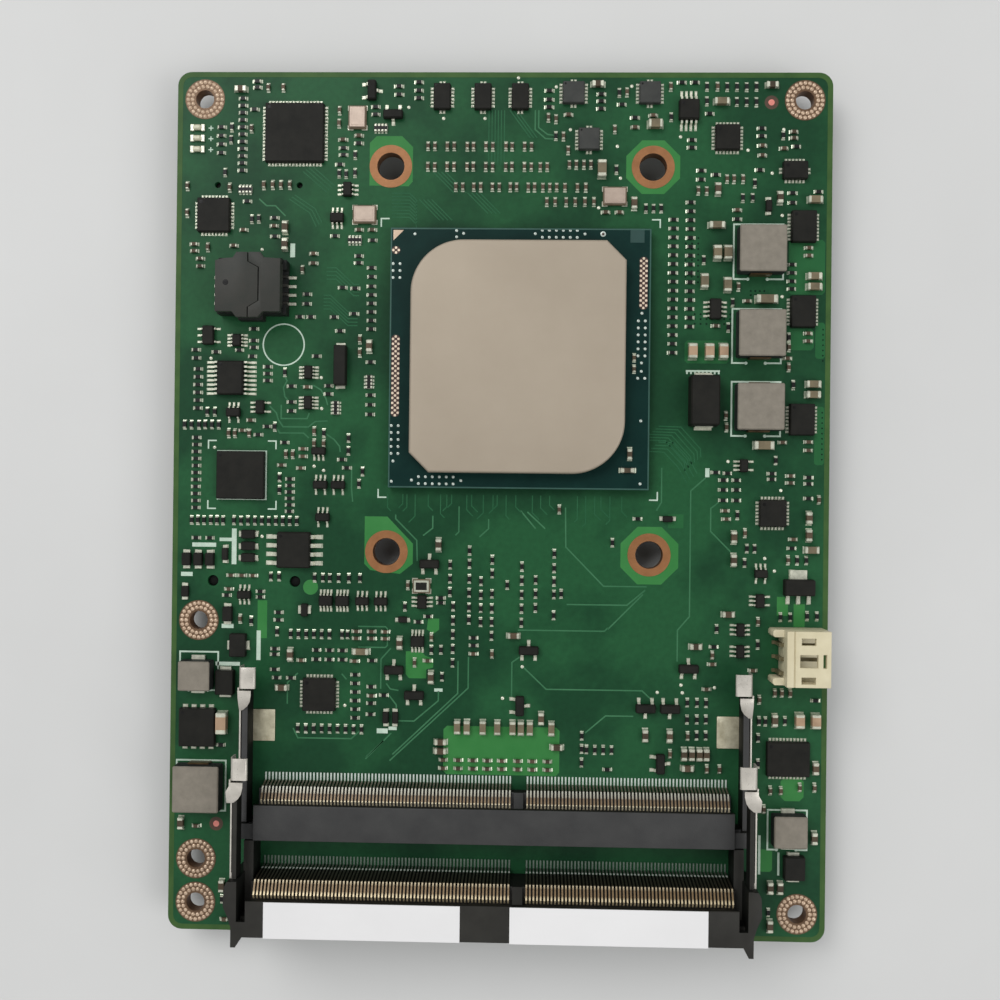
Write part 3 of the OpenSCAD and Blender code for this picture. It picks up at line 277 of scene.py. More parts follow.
def dot(x, y, radius, low=BOARD_TOP, thick=0.03, sides=10, mark=0):
    """A round spot, a little domed."""
    points = [(*spot, low) for spot in circle(x, y, radius, sides)]
    points += [(*spot, low + thick) for spot in circle(x, y, radius * 0.75, sides)]
    points.append((x, y, low + thick * 1.3))
    faces = [[i, (i + 1) % sides, sides + (i + 1) % sides, sides + i] for i in range(sides)]
    faces += [[sides + i, sides + (i + 1) % sides, 2 * sides] for i in range(sides)]
    faces.append(list(range(sides))[::-1])
    return points, faces, mark


dress("circuit_board", resist)

# Border where the copper and the resist stop short of the routed edge
margin = 0.75
rim = []
for side_x, side_y, start in ((1, 1, 0), (-1, 1, 90), (-1, -1, 180), (1, -1, 270)):
    for step in range(5):
        turn = math.radians(start + 22.5 * step)
        rim.append((side_x * (BOARD_HALF[0] - BOARD_CORNER) + (BOARD_CORNER - margin / 2) * math.cos(turn),
                    side_y * (BOARD_HALF[1] - BOARD_CORNER) + (BOARD_CORNER - margin / 2) * math.sin(turn)))
piece("board_border", [track(rim, margin, closed=True)], [laminate])


def hole_field(x, y, outline, inside=2.7, steps=4):
    """A flat area with the given outline round a hole; its middle is left open under the hole's land."""
    outer = []
    for i, (x0, y0) in enumerate(outline):
        x1, y1 = outline[(i + 1) % len(outline)]
        outer += [(x0 + (x1 - x0) * k / steps, y0 + (y1 - y0) * k / steps) for k in range(steps)]
    inner = []
    for px, py in outer:
        reach = math.hypot(px - x, py - y)
        inner.append((x + (px - x) * inside / reach, y + (py - y) * inside / reach))
    n = len(outer)
    points = [(*p, z) for z in (BOARD_TOP, BOARD_TOP + RESIST_THICK) for ring in (outer, inner) for p in ring]
    faces = []
    for i in range(n):
        j = (i + 1) % n
        for a, b in ((0, 1), (1, 3), (3, 2), (2, 0)):
            faces.append([a * n + i, a * n + j, b * n + j, b * n + i])
    return points, faces, 0


planes = [oblong(-7.6, -39.3, 9.2, -32.3, 0.5), oblong(40.2, -15.7, 41.8, -13),
          oblong(42.6, -17.3, 44.2, -14), oblong(41, -42.3, 44.3, -38.9, 0.6),
          oblong(-34.9, -20, -33.5, -14.5),
          field([(-10.9, -21.6), (-10.4, -22.2), (-9.2, -22.6), (-9.2, -23.9), (-10.2, -24.2),
                 (-10.2, -25.5), (-12.7, -25.5), (-13.2, -24.9), (-13.2, -21.6)]),
          field([(-10, -16.8), (-10.2, -18.4), (-9.2, -19), (-8.4, -18.4), (-8.4, -16.8)]),
          oblong(38, -52.5, 39.9, -49.3, 0.3), dot(-27.2, -12.5, 1.1, thick=RESIST_THICK, sides=20),
          hole_field(21.85, -7.3, circle(21.85, -7.3, 4.5, 8, 0.5)),
          hole_field(21.8, 48.8, circle(21.8, 48.8, 4.2, 8, 0.5)),
          hole_field(-16.2, -7.2, [(-19.4, -4), (-19.4, -2.1), (-16.1, -2.1), (-12.35, -6), (-12.35, -8.9),
                                   (-14.2, -10.4), (-18.5, -9.9), (-19.4, -9)]),
          hole_field(-16.2, 48.8, [(-19.3, 46), (-19.3, 52.2), (-18.3, 53.2), (-14.6, 53.2), (-13, 51.6),
                                   (-13, 46.6), (-13.6, 45.9)])]
fields = [oblong(26.6, 20.5, 33, 23.8, 0.4), oblong(41.4, 30.5, 46.6, 38.4, 0.4),
          oblong(41.4, 22.5, 45.1, 25.6, 0.4), oblong(24.5, -3.3, 26.7, -1.3),
          oblong(45.3, 6, 46.7, 14.4, 0.3), oblong(45.3, 21.3, 46.7, 26.5, 0.3)]
piece("copper_planes", planes, [resist_on_plane])
piece("copper_fields", fields, [resist_on_field])
vias = [(46.4, 6.8 + 0.75 * i) for i in range(10)] + [(46.4, 21 + 0.75 * i) for i in range(7)]
vias += [(36 + 0.65 * i, 31 - 0.6 * j) for i in range(4) for j in range(2)]
vias += [(28 + 0.85 * i, 26.2 + 0.7 * j) for i in range(7) for j in range(3)]
vias += [(26.6 + 0.9 * i, 32.2 + 0.8 * j) for i in range(3) for j in range(9)]
piece("resist_vias", [dot(x, y, 0.15, BOARD_TOP, 0.02, 8) for x, y in vias], [via_green])

tracks = [
    [(9.7, -0.5), (9.8, -6.2), (15.3, -11.8), (21.5, -11.8)], [(10, -14.5), (18.7, -14.5), (21.3, -12.3)],
    [(16, -18), (21, -12.9)], [(3, -18.3), (15.5, -18.3), (16, -17.8)],
    [(2.2, -28), (2.2, -23), (3.3, -22.2)], [(3.9, -23.7), (7.2, -26.8), (21, -26.8), (22.3, -28)],
    [(29.8, 4), (27.7, 2.1), (27.7, -16), (26, -18), (26, -22.5)],
    [(31.7, 0.5), (30.6, -0.4), (30.6, -3.7), (33.5, -6.6)], [(22.8, -0.8), (23.5, 0.4), (23.5, 5.4)],
    [(12.9, -33), (15.8, -30.5), (19.8, -30.5)], [(-4.1, -22.3), (-4.1, -26.8), (-15.4, -37.5)],
    [(-5.6, -22.9), (-5.6, -27.6), (-15, -36.6)],
    [(-8.4, -27.3), (-8.4, -28.7), (-11.9, -31.7), (-14.2, -31.7)], [(-15.2, -33.5), (-18.9, -37.3)],
    [(-15.4, -21.2), (-16.8, -22.8), (-16.8, -27.1)], [(-16, -26.3), (-15.4, -27.1), (-14.2, -27.3)],
    [(-15.6, -28), (-14.5, -29.4), (-14.5, -30.4)], [(-16.3, -34.6), (-18.8, -37)],
    [(-20.2, -18.1), (-16.2, -18.1), (-15.9, -18.4), (-15.9, -20.8), (-16.2, -21.1), (-20.2, -21.1)],
    [(-14.9, -1.8), (-14.9, -2.4), (-11.8, -5.5), (-11.7, -8.5)],
    [(-9.5, -1.9), (-9.5, -3.7), (-10.9, -4.8)], [(-5.7, -0.5), (-5.7, -4.2), (-6.2, -4.7)],
    [(-1.4, -2.3), (-1.4, -3.7), (-2.7, -4.9)], [(3.2, -1), (5.4, -3.6)], [(4.2, -1.2), (6.8, -3.6)],
    [(-28.9, -25), (-30.4, -26.4), (-30.4, -29.5)], [(-22.5, -25), (-21.8, -25.8)],
    [(-35.4, 44), (-34.3, 43), (-33, 43), (-31.5, 41.5)],
    [(-29.5, -33), (-28.8, -34.4), (-21, -34.4), (-19.5, -33)],
    [(-33.5, 13.8), (-32.5, 12.8), (-32.2, 11.8), (-31.5, 10.8), (-27.8, 10.8), (-26.8, 11.6), (-25, 11.7)],
    [(-32.5, 10.8), (-32, 9.9), (-28.5, 9.9), (-27.7, 9.2)],
    [(-31.8, 14), (-31.8, 12), (-28, 12), (-27.7, 12.8)],
    [(-31.5, 18.5), (-31, 17.5), (-31.5, 16.5), (-31.3, 15.2), (-30.8, 14.6)],
    [(-29, 16.8), (-27, 16.8), (-26, 16.2), (-25.3, 15), (-25, 14)],
    [(-25.5, 10), (-24, 9), (-23.2, 8), (-23.1, 7.2)], [(-21.4, 5), (-21.4, 2), (-21.2, 0)],
    [(5.2, 57), (5.2, 54.5), (6.5, 53.5), (8, 53.3)], [(4.7, 57), (4.7, 54.2), (6.2, 52.9), (8, 52.8)]]
copper_lines = [track(points) for points in tracks]
FINE_WIDTH = 0.16
# Fine lines that run side by side: the points of the first, how many there are, and the step to the next
for points, count, step_x, step_y in (
        ([(-2, 57), (-2, 49)], 6, 0.45, 0), ([(1, 57), (4, 53)], 3, 0.5, 0),
        ([(-10, 48), (-7, 45)], 4, 0.6, 0), ([(-12, 44), (-9, 41)], 4, 0.6, 0),
        ([(-5, 45), (-2, 42)], 4, 0.6, 0),
        ([(-16, 41.4), (-13.4, 41.4), (-12.4, 40.4), (-12.4, 39.9)], 8, 0, 0.5),
        ([(-29, 48), (-25.5, 45)], 4, 0.4, 0.3), ([(-31, 44), (-28, 42), (-27, 40)], 3, 0.4, 0.3),
        ([(-25.4, 34), (-24, 34), (-21.4, 31.6), (-20.6, 31.6)], 4, 0, -0.55),
        ([(-25.8, 30), (-24.8, 30), (-22.2, 27.6), (-20.8, 27.6)], 5, 0, -0.5),
        ([(23, 11.4), (26.2, 11.3), (29, 8.2), (29.1, 7)], 6, -0.45, -0.4),
        ([(23, 9.1), (25.3, 9), (27.3, 6.9), (28.6, 4.6)], 4, -0.5, -0.45)):
    for i in range(count):
        line = [(x + i * step_x, y + i * step_y) for x, y in points]
        copper_lines.append(track(line, FINE_WIDTH, mark=1))
# Fan-out under the processor's lower edge: short lines that end in a slant
for start, length, slant in (
        (-16.1, 1.4, 0.5), (-13.9, 0.8, -0.6), (-13.3, 1.3, -0.6), (-12.1, 2.6, -0.9), (-10.2, 1.1, 0.7),
        (-8.4, 2.2, 0.6), (-7.5, 1.2, -0.6), (-6.8, 0.7, -0.6), (-4.6, 1.6, 0.9), (-3.9, 1, 0.9),
        (-2.2, 2, -0.9), (-0.8, 1.5, -0.6), (-0.2, 0.9, -0.5), (1.1, 2.4, 0.5), (2.5, 1.1, 0.9),
        (4.9, 1.9, 1), (6.1, 1.2, 1), (7.4, 0.8, 0.7), (11.4, 2.8, -0.4), (12.6, 3.4, -0.4), (13.9, 2, 0.9),
        (14.8, 1.3, 1.2), (16.1, 2.9, -0.6), (17.8, 1.6, 0.8)):
    end_y = 0.6 - length
    copper_lines.append(track([(start, 1.2), (start, end_y), (start + slant, end_y - abs(slant))], FINE_WIDTH,
                              mark=1))
piece("copper_tracks", copper_lines, [resist_on_track, resist_on_fine_track])

# Via heads and test spots that the resist leaves open, tinned
spots = [
    (-36.6, 54.3), (-34.9, 36.6), (-8.6, 55.8), (-2.6, 55.8), (2.2, 61.7), (-13.7, 57.4), (7.7, 60.4),
    (9.8, 54.2), (14, 42.9), (18.6, 60.5), (16.6, 51.8), (17.1, 47.2), (25.7, 53.2), (35.4, 51.3),
    (40.5, 54.3), (38.9, 48), (40.4, 41.9), (-26, 18), (-25.9, 13.5), (-42.2, 20.7), (-41.5, 7.7),
    (-26.9, 5.1), (-25.5, 4.5), (40.5, 30.2), (33, 6.4), (40.6, 2.3), (-34.4, -5.2), (-22, -29.6),
    (3.7, -23.6), (0.9, -28.2), (38.4, -7.5), (39.8, -9.3), (31.4, -26.2), (26.6, -25.9), (26.8, -27),
    (23.2, -27)]
piece("test_spots", [dot(x, y, 0.25, thick=0.06) for x, y in spots], [tin], smooth=40)

# White print: outlines, bars and corners
ink = [round_line(-31.55, 22.75, 3.0, 0.2)]
for points, width in (
        ([(-38.45, -4.1), (-38.45, -9.3)], 0.7), ([(-44.6, -6.5), (-41.1, -6.5)], 0.6),
        ([(-40.6, -5.7), (-38.8, -5.7)], 0.5), ([(-34.7, -18.9), (-34.7, -23.2)], 0.6),
        ([(-41, -23.8), (-37.4, -23.8)], 0.55), ([(-46.2, -10.8), (-44.5, -10.8)], 0.6),
        ([(-40.15, -18.3), (-38.4, -18.3)], 0.6), ([(38.05, -47.3), (38.05, -52.9)], 0.35),
        ([(-30.4, 35.5), (-30.4, 37.5)], 0.7), ([(30.05, 4.1), (30.05, 5.4)], 0.6),
        ([(-9, -27.15), (-7.8, -27.15)], 0.45), ([(-17.3, -33.2), (-15.7, -33.2)], 0.7),
        ([(-15.6, -32.8), (-14.4, -32.8)], 0.5), ([(40.8, -49.7), (40.8, -53)], 0.3),
        ([(-31.8, -5.15), (-31.8, -5.65)], 0.5), ([(26.8, 19.4), (31.7, 19.4)], 0.25)):
    ink.append(track(points, width))
ink.append(track([(-41, 0.2), (-33.9, 0.2), (-33.9, 7.2), (-41, 7.2)], 0.2, closed=True))
# A coil's outline is open where its clip comes down, with a round end on each side
for x0, y0, x1, y1 in (
        (33.5, 32.7, 40.6, 40.6), (33.4, 20.6, 40.4, 28.4), (33.4, 10.1, 40.4, 17.9),
        (39.2, -49.3, 44.8, -43.6), (-46.2, -27.7, -40.6, -22.1), (-46.5, -45.2, -39.3, -37.9)):
    gap_left, gap_right = (x0 + x1) / 2 - 1.5, (x0 + x1) / 2 + 1.3
    ink.append(track([(gap_left, y0), (x0, y0), (x0, y1), (x1, y1), (x1, y0), (gap_right, y0)], 0.24))
    ink += [dot(x, y0, 0.24, thick=0.02) for x in (gap_left, gap_right)]
for x, y, way_x, way_y in (
        (-17.5, 41.2, 1, -1), (22.9, 41.2, -1, -1), (-17.5, 0.7, 1, 1), (22.9, 0.7, -1, 1),
        (-42.4, 8.7, 1, -1), (-32.5, 8.7, -1, -1), (-42.4, -1.2, 1, 1), (-32.4, -1.2, -1, 1)):
    ink.append(track([(x + 1.2 * way_x, y), (x, y), (x, y + 1.2 * way_y)], 0.2))
for y in (54.3, 52.75, 51.15):
    ink.append(track([(-42.95, y), (-42.25, y)], 0.16))
    ink.append(track([(-42.6, y - 0.35), (-42.6, y + 0.35)], 0.16, thick=0.02))
for number in range(9):
    ink.append(oblong(26.85 + 0.57 * number, 18.95, 27.1 + 0.57 * number, 19.3))
piece("white_print", ink, [white_ink])

# Camera targets for the assembly line: a bare copper dot in an opening of the resist
opening = surface("resist_opening", (64, 44, 30), (80, 56, 38), 0.6, patch=0.5)
target = surface("target_copper", (206, 120, 110), (220, 138, 124), 0.4, metal=0.3, patch=0.6)
targets = []
for x, y in ((38.7, 58.2), (-40.6, -47.1)):
    targets.append(dot(x, y, 1.0, thick=RESIST_THICK, sides=24))
    targets.append(dot(x, y, 0.5, thick=0.03, sides=16, mark=1))
piece("line_targets", targets, [opening, target])

# Lands round the holes. Etched copper rings on both faces, joined by a plated barrel; the mounting
# lands carry two rings of solder dots that bite on the standoff.
hole_x, hole_y = 43.5, 58.5
mounting_holes = [(sx * hole_x, sy * hole_y) for sx in (-1, 1) for sy in (-1, 1)]
mounting_holes += [(-43.5, -17.5), (-43.5, -52.2)]
carrier_x, carrier_y = 2.8, 20.8
spreader_holes = [(carrier_x + sx * 19, carrier_y + sy * 28) for sx in (-1, 1) for sy in (-1, 1)]
dress("mounting_hole_lands", land_brown)
dress("spreader_hole_lands", copper)
barrel_wall = 0.04
barrels = [round_line(x, y, 1.33, barrel_wall, 0, BOARD_TOP) for x, y in mounting_holes]
barrels += [round_line(x, y, 1.98, barrel_wall, 0, BOARD_TOP) for x, y in spreader_holes]
barrel_brown = surface("plated_barrel", (84, 58, 38), (112, 82, 56), 0.5, metal=0.3, patch=0.8)
piece("hole_barrels", barrels, [barrel_brown], smooth=40)
bites = []
for x, y in mounting_holes:
    for radius, count in ((2.5, 24), (1.87, 18)):
        bites += [dot(*spot, 0.3, BOARD_TOP + 0.06, 0.1) for spot in circle(x, y, radius, count)]
bite_tin = surface("land_solder", (158, 130, 104), (214, 190, 164), 0.3, metal=0.35, patch=1.4)
piece("land_solder_dots", bites, [bite_tin], smooth=50)

# Chip resistors and capacitors. A ceramic body with silver ends, plated with tin and soldered to
# two pads; the resistors are alumina with a black glaze on top, the capacitors bare brown ceramic.
alumina = surface("alumina", (176, 172, 160), (204, 200, 190), 0.5, patch=0.8)
black_glaze = surface("black_glaze", (16, 18, 17), (34, 34, 33), 0.35, patch=0.6, bump=0.15, gloss=0.2)
brown_ceramic = surface("brown_ceramic", (62, 54, 42), (88, 74, 58), 0.45, patch=0.3, soft=0.3, gloss=0.2)
olive_ceramic = surface("olive_ceramic", (92, 84, 66), (124, 112, 88), 0.45, patch=0.5, gloss=0.25)
tan_ceramic = surface("tan_ceramic", (146, 120, 96), (178, 150, 122), 0.45, patch=0.5, gloss=0.25)
joint = surface("solder_joint", (134, 146, 122), (218, 224, 202), 0.25, metal=0.4, patch=1.5, grain=4,
                bump=0.4)


def loose(node):
    """The lowest and highest corner of every separate solid of a CAD part, in mm, west to east."""
    shape = bmesh.new()
    shape.from_mesh(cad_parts[node].data)
    bmesh.ops.remove_doubles(shape, verts=shape.verts, dist=1e-6)
    shape.verts.ensure_lookup_table()
    seen, boxes = set(), []
    for first in shape.verts:
        if first.index in seen:
            continue
        seen.add(first.index)
        group, front = [], [first]
        while front:
            vert = front.pop()
            group.append(vert.co)
            for edge in vert.link_edges:
                other = edge.other_vert(vert)
                if other.index not in seen:
                    seen.add(other.index)
                    front.append(other)
        spots_in_mm = np.array([tuple(co) for co in group]) * 1000
        boxes.append((spots_in_mm.min(axis=0), spots_in_mm.max(axis=0)))
    shape.free()
    return sorted(boxes, key=lambda box: tuple(np.round(box[0], 3)))


CORNERS = [(x, y, z) for z in (0, 1) for y in (0, 1) for x in (0, 1)]


def brick(low, high, mark=0):
    """A plain box."""
    points = [[(low, high)[side][axis] for axis, side in enumerate(corner)] for corner in CORNERS]
    faces = [[0, 2, 3, 1], [4, 5, 7, 6], [0, 1, 5, 4], [2, 6, 7, 3], [0, 4, 6, 2], [1, 3, 7, 5]]
    return points, faces, mark


def bevelled(low, high, edge=0.05, draft=0.0, mark=0):
    """A box with cut edges; draft leans its sides in towards the top."""
    low, high = np.array(low, float), np.array(high, float)
    edge = min(edge, min(high - low) * 0.4)
    points = []
    for corner in CORNERS:
        for axis in range(3):
            spot = [high[k] - edge if corner[k] else low[k] + edge for k in range(3)]
            spot[axis] = high[axis] if corner[axis] else low[axis]
            rise = (spot[2] - low[2]) / (high[2] - low[2]) * draft
            for k in (0, 1):
                spot[k] += -rise if corner[k] else rise
            points.append(spot)

    def at(corner, axis):
        return 3 * (corner[0] + 2 * corner[1] + 4 * corner[2]) + axis

    faces = []
    for axis in range(3):
        one, two = (axis + 1) % 3, (axis + 2) % 3
        for side in (0, 1):
            ring = []
            for a, b in ((0, 0), (1, 0), (1, 1), (0, 1)):
                corner = [0, 0, 0]
                corner[axis], corner[one], corner[two] = side, a, b
                ring.append(at(corner, axis))
            faces.append(ring)
        for a in (0, 1):
            for b in (0, 1):
                ends = []
                for along in (0, 1):
                    corner = [0, 0, 0]
                    corner[axis], corner[one], corner[two] = along, a, b
                    ends.append((at(corner, one), at(corner, two)))
                faces.append([ends[0][0], ends[1][0], ends[1][1], ends[0][1]])
    faces += [[at(corner, 0), at(corner, 1), at(corner, 2)] for corner in CORNERS]
    return points, faces, mark


def solder_wedge(inner, outer, half_width, middle, axis, low, height, mark=0):
    """Solder that climbs a part's end: from its full height at inner to nothing at outer."""
    across = 1 - axis
    sign = 1 if outer > inner else -1
    points = []
    for along, z, half in ((inner, low, half_width), (outer, low, half_width),
                           (outer, low + 0.03, half_width),
                           (inner + sign * 0.35 * abs(outer - inner), low + height * 0.35, half_width * 0.95),
                           (inner, low + height, half_width * 0.85)):
        for way in (-1, 1):
            spot = [0, 0, z]
            spot[axis], spot[across] = along, middle + way * half
            points.append(spot)
    ring = [0, 2, 4, 6, 8]
    faces = [ring, [i + 1 for i in ring[::-1]]]
    faces += [[ring[i], ring[(i + 1) % 5], ring[(i + 1) % 5] + 1, ring[i] + 1] for i in range(5)]
    return points, faces, mark


BODY_INSET = 0.02
BODY_SINK = 0.025
CAP_EDGE = 0.1
SOLDER_REACH = 0.22


def level_axes(size):
    """The longer and the shorter level axis of a box, each 0 or 1."""
    axis = 0 if size[0] > size[1] else 1
    return axis, 1 - axis


def chip_part(box, end_share, body_mark, rng):
    """A two-ended chip part in place of its CAD box: body, plated ends and their solder."""
    low, high = box
    size = high - low
    axis, across = level_axes(size)
    half = size[across] / 2
    middle = (low[across] + high[across]) / 2
    end = end_share * size[axis] * rng.uniform(0.9, 1.12)
    inside_low, inside_high = low.copy(), high.copy()
    inside_low[axis] += end * 0.5
    inside_high[axis] -= end * 0.5
    inside_low[across] += BODY_INSET
    inside_high[across] -= BODY_INSET
    inside_high[2] -= BODY_SINK
    solids = [brick(inside_low, inside_high, body_mark)]
    for way, edge in ((-1, low[axis]), (1, high[axis])):
        cap_low, cap_high = low.copy(), high.copy()
        cap_low[axis], cap_high[axis] = sorted((edge, edge - way * end))
        solids.append(bevelled(cap_low, cap_high, CAP_EDGE, mark=2))
        reach = SOLDER_REACH * rng.uniform(0.7, 1.2)
        solids.append(solder_wedge(edge - way * 0.02, edge + way * reach, half * 1.05, middle, axis, low[2],
                                   size[2] * rng.uniform(0.45, 0.75), mark=3))
    return solids


def fitted(node, solids, finishes):
    """A piece that takes the place of one CAD part."""
    return piece(node + "_fitted", solids, finishes, instead_of=(node,))


def chip_parts(node, end_share, bodies, seed, second=()):
    """Every chip part of a CAD node; those at the places in second get the second body finish."""
    rng = random.Random(seed)
    solids = []
    for box in loose(node):
        middle = (box[0] + box[1]) / 2
        other = any(math.hypot(middle[0] - x, middle[1] - y) < 0.3 for x, y in second)
        solids += chip_part(box, end_share, 1 if other else 0, rng)
    fitted(node, solids, [bodies[0], bodies[-1], tin, joint])


chip_parts("resistors", 0.2, [black_glaze], 1)
chip_parts("small_capacitors", 0.27, [brown_ceramic], 2)
chip_parts("medium_capacitors", 0.3, [brown_ceramic], 3)
tan_places = [(27.7, 22.2), (30.1, 22.2), (32.1, 22.2), (43.5, -30.7), (45.8, -30.7), (-39.8, -32.3)]
chip_parts("large_capacitors", 0.24, [olive_ceramic, tan_ceramic], 4, tan_places)

# Resistor packs. Four resistors fired onto one alumina chip under a black glaze, with four tinned
# ends on each long side, every one soldered to its own pad.
pack_solids = []
glaze_depth = 0.14
end_start, end_pitch, end_width, end_depth = 0.08, 0.5, 0.34, 0.27
for low, high in loose("resistor_packs"):
    axis, across = level_axes(high - low)
    chip_low, chip_high = low + BODY_INSET, high - BODY_INSET
    glaze_low, glaze_high = low + 2 * BODY_INSET, high - 2 * BODY_INSET
    chip_high[2] = glaze_low[2] = high[2] - glaze_depth
    pack_solids.append(brick(chip_low, chip_high, 0))
    pack_solids.append(brick(glaze_low, glaze_high, 1))
    for k in range(4):
        for way in (-1, 1):
            cap_low, cap_high = low.copy(), high.copy()
            cap_low[axis] = low[axis] + end_start + k * end_pitch
            cap_high[axis] = cap_low[axis] + end_width
            edge = high[across] if way > 0 else low[across]
            cap_low[across], cap_high[across] = sorted((edge + way * 0.01, edge - way * end_depth))
            pack_solids.append(bevelled(cap_low, cap_high, 0.04, mark=2))
            pack_solids.append(solder_wedge(edge, edge + way * 0.25, 0.16, cap_low[axis] + 0.16, across,
                                            low[2], 0.25, mark=3))
fitted("resistor_packs", pack_solids, [alumina, black_glaze, tin, joint])

# Moulded chips. Silicon in black epoxy, cast round a lead frame, with a small round mark moulded
# by the first lead; the leads are tinned copper and sit in solder on the board's pads.
chip_epoxy = surface("chip_epoxy", (22, 22, 19), (34, 33, 29), 0.55, patch=0.5, grain=9, bump=0.3, gloss=0.14)
grey_epoxy = surface("grey_epoxy", (48, 50, 48), (64, 65, 62), 0.5, patch=0.5, grain=9, bump=0.3, gloss=0.2)
epoxy_mark = surface("moulded_mark", (10, 10, 9), (18, 17, 16), 0.35, patch=0.8, gloss=0.2)


def moulded(node, edge=0.1, draft=0.06, mark_size=0.0, grey_from=None):
    """Chip bodies in place of their CAD boxes, each with a round first-lead mark.

    Bodies west of grey_from are black and the rest are grey; without it all are black.
    """
    solids = []
    for low, high in loose(node):
        grey = grey_from is not None and low[0] > grey_from
        solids.append(bevelled(low, high, edge, draft, 2 if grey else 0))
        if mark_size:
            inset = draft + 2.2 * mark_size
            solids.append(dot(low[0] + inset, high[1] - inset, mark_size, high[2], 0.006, 16, mark=1))
    fitted(node, solids, [chip_epoxy, epoxy_mark, grey_epoxy])


moulded("controller_chips", mark_size=0.28)
moulded("driver_chips", mark_size=0.16, grey_from=5)
moulded("power_stage_chips", mark_size=0.25)
moulded("ball_grid_chip", mark_size=0.25)
moulded("gull_wing_chips", 0.16, 0.08, mark_size=0.25)
moulded("logic_chips", 0.12, 0.06, mark_size=0.1)
moulded("transistors", 0.14, 0.06)
moulded("regulator", 0.14, 0.06)
moulded("marked_diodes", 0.1, 0.05)

ends = []
for low, high in loose("leadless_terminals"):
    ends.append(bevelled(low, high, 0.06))
    solder_low = (low[0] - 0.05, low[1] - 0.05, BOARD_TOP)
    solder_high = (high[0] + 0.05, high[1] + 0.05, BOARD_TOP + 0.04)
    ends.append(brick(solder_low, solder_high, 1))
fitted("leadless_terminals", ends, [tin, joint])


def solder_feet(node, chips, name, foot=0.42, spare=0.12):
    """Solder round the foot of every bent lead; the foot is the end away from the chip's body."""
    bodies = loose(chips)
    solids = []
    for low, high in loose(node):
        middle = (low + high) / 2
        nearest = min(bodies, key=lambda body: float(np.abs((body[0] + body[1]) / 2 - middle)[:2].sum()))
        away = middle - (nearest[0] + nearest[1]) / 2
        size = high - low
        axis, across = level_axes(size)
        way = 1 if away[axis] > 0 else -1
        edge = high[axis] if way > 0 else low[axis]
        half = size[across] / 2 + 0.05
        pad_low, pad_high = low.copy(), high.copy()
        pad_low[axis], pad_high[axis] = sorted((edge + way * spare, edge - way * foot))
        pad_low[across], pad_high[across] = middle[across] - half, middle[across] + half
        pad_low[2], pad_high[2] = BOARD_TOP, BOARD_TOP + 0.06
        solids.append(bevelled(pad_low, pad_high, 0.02))
    piece(name, solids, [joint])


for node in ("gull_wing_leads", "logic_leads", "transistor_leads", "regulator_leads", "diode_terminals",
             "polymer_terminals"):
    dress(node, tin)
solder_feet("logic_leads", "logic_chips", "logic_lead_solder")
solder_feet("transistor_leads", "transistors", "transistor_lead_solder")
solder_feet("gull_wing_leads", "gull_wing_chips", "gull_wing_lead_solder", 0.7, 0.2)
solder_feet("diode_terminals", "marked_diodes", "diode_solder", 0.3, 0.15)
solder_feet("regulator_leads", "regulator", "regulator_solder", 0.7, 0.15)

# Power coils. Flat copper wire in a block of pressed grey iron powder. The wire's ends are folded
# under the block as clips and soldered to the board.
ferrite = surface("pressed_iron_powder", (119, 113, 102), (137, 130, 118), 0.5, metal=0.1, patch=0.8,
                  grain=9, bump=0.35, gloss=0.2)
coil_solids = [bevelled(low, high, 0.16, 0.04) for low, high in loose("coils")]
# The coils' upright sides are the same iron powder as the top; their near-black finish is painted shade.
painted_shade_coil_side = surface("painted_shade_coil_side", (30, 32, 32), (44, 46, 44), 0.6, patch=0.8, grain=7, bump=0.4, gloss=0.1)


def paint_shade_on_sides(thing, finish):
    """Gives the upright faces of a piece a darker finish of their own: painted shade on its sides."""
    mesh = thing.data
    mesh.materials.append(finish)
    for face in mesh.polygons:
        if abs(face.normal.z) < 0.4:
            face.material_index = len(mesh.materials) - 1


paint_shade_on_sides(fitted("coils", coil_solids, [ferrite]), painted_shade_coil_side)
clip_copper = surface("clip_copper", (62, 46, 26), (104, 82, 52), 0.35, metal=0.4, patch=0.8)
small_coils = ((-43.4, -25.3), (42, -46.2))
dress_parts("coil_clips", [clip_copper, tin],
            lambda at: int(any(math.hypot(at[0] - x, at[1] - y) < 4 for x, y in small_coils)))

# Polymer capacitor. A block of black epoxy moulded round its core, on two tinned ends that are
# folded under it and soldered to the board.
moulded("polymer_capacitor", 0.2, 0.1)

# Crystals. A ceramic tray that holds the quartz, closed by a metal lid that is seam-welded on. The
# tray is soldered to the board at its corners.
crystal_tray = surface("crystal_tray", (96, 84, 66), (124, 108, 86), 0.5, patch=0.6, gloss=0.3)
crystal_lid = surface("crystal_lid", (166, 148, 134), (188, 170, 154), 0.35, metal=0.3, patch=0.8)
dress("crystal_bases", crystal_tray)
lids = []
black_west, black_east = -12.5, -10
for low, high in loose("crystal_lids"):
    black = black_west < low[0] < black_east and low[1] < 0
    lids.append(bevelled(low, high, 0.08, 0.02, mark=2 if black else 0))
    lids.append(bevelled((low[0] + 0.3, low[1] + 0.3, high[2] - 0.01),
                         (high[0] - 0.3, high[1] - 0.3, high[2] + 0.03), 0.02, mark=1 if black else 0))
    for corner_x, way_x in ((low[0], -1), (high[0], 1)):
        for corner_y, way_y in ((low[1], -1), (high[1], 1)):
            x0, x1 = sorted((corner_x - way_x * 0.55, corner_x + way_x * 0.3))
            y0, y1 = sorted((corner_y - way_y * 0.45, corner_y + way_y * 0.3))
            lids.append(bevelled((x0, y0, BOARD_TOP), (x1, y1, BOARD_TOP + 0.12), 0.04, mark=2))
fitted("crystal_lids", lids, [crystal_lid, chip_epoxy, tin])

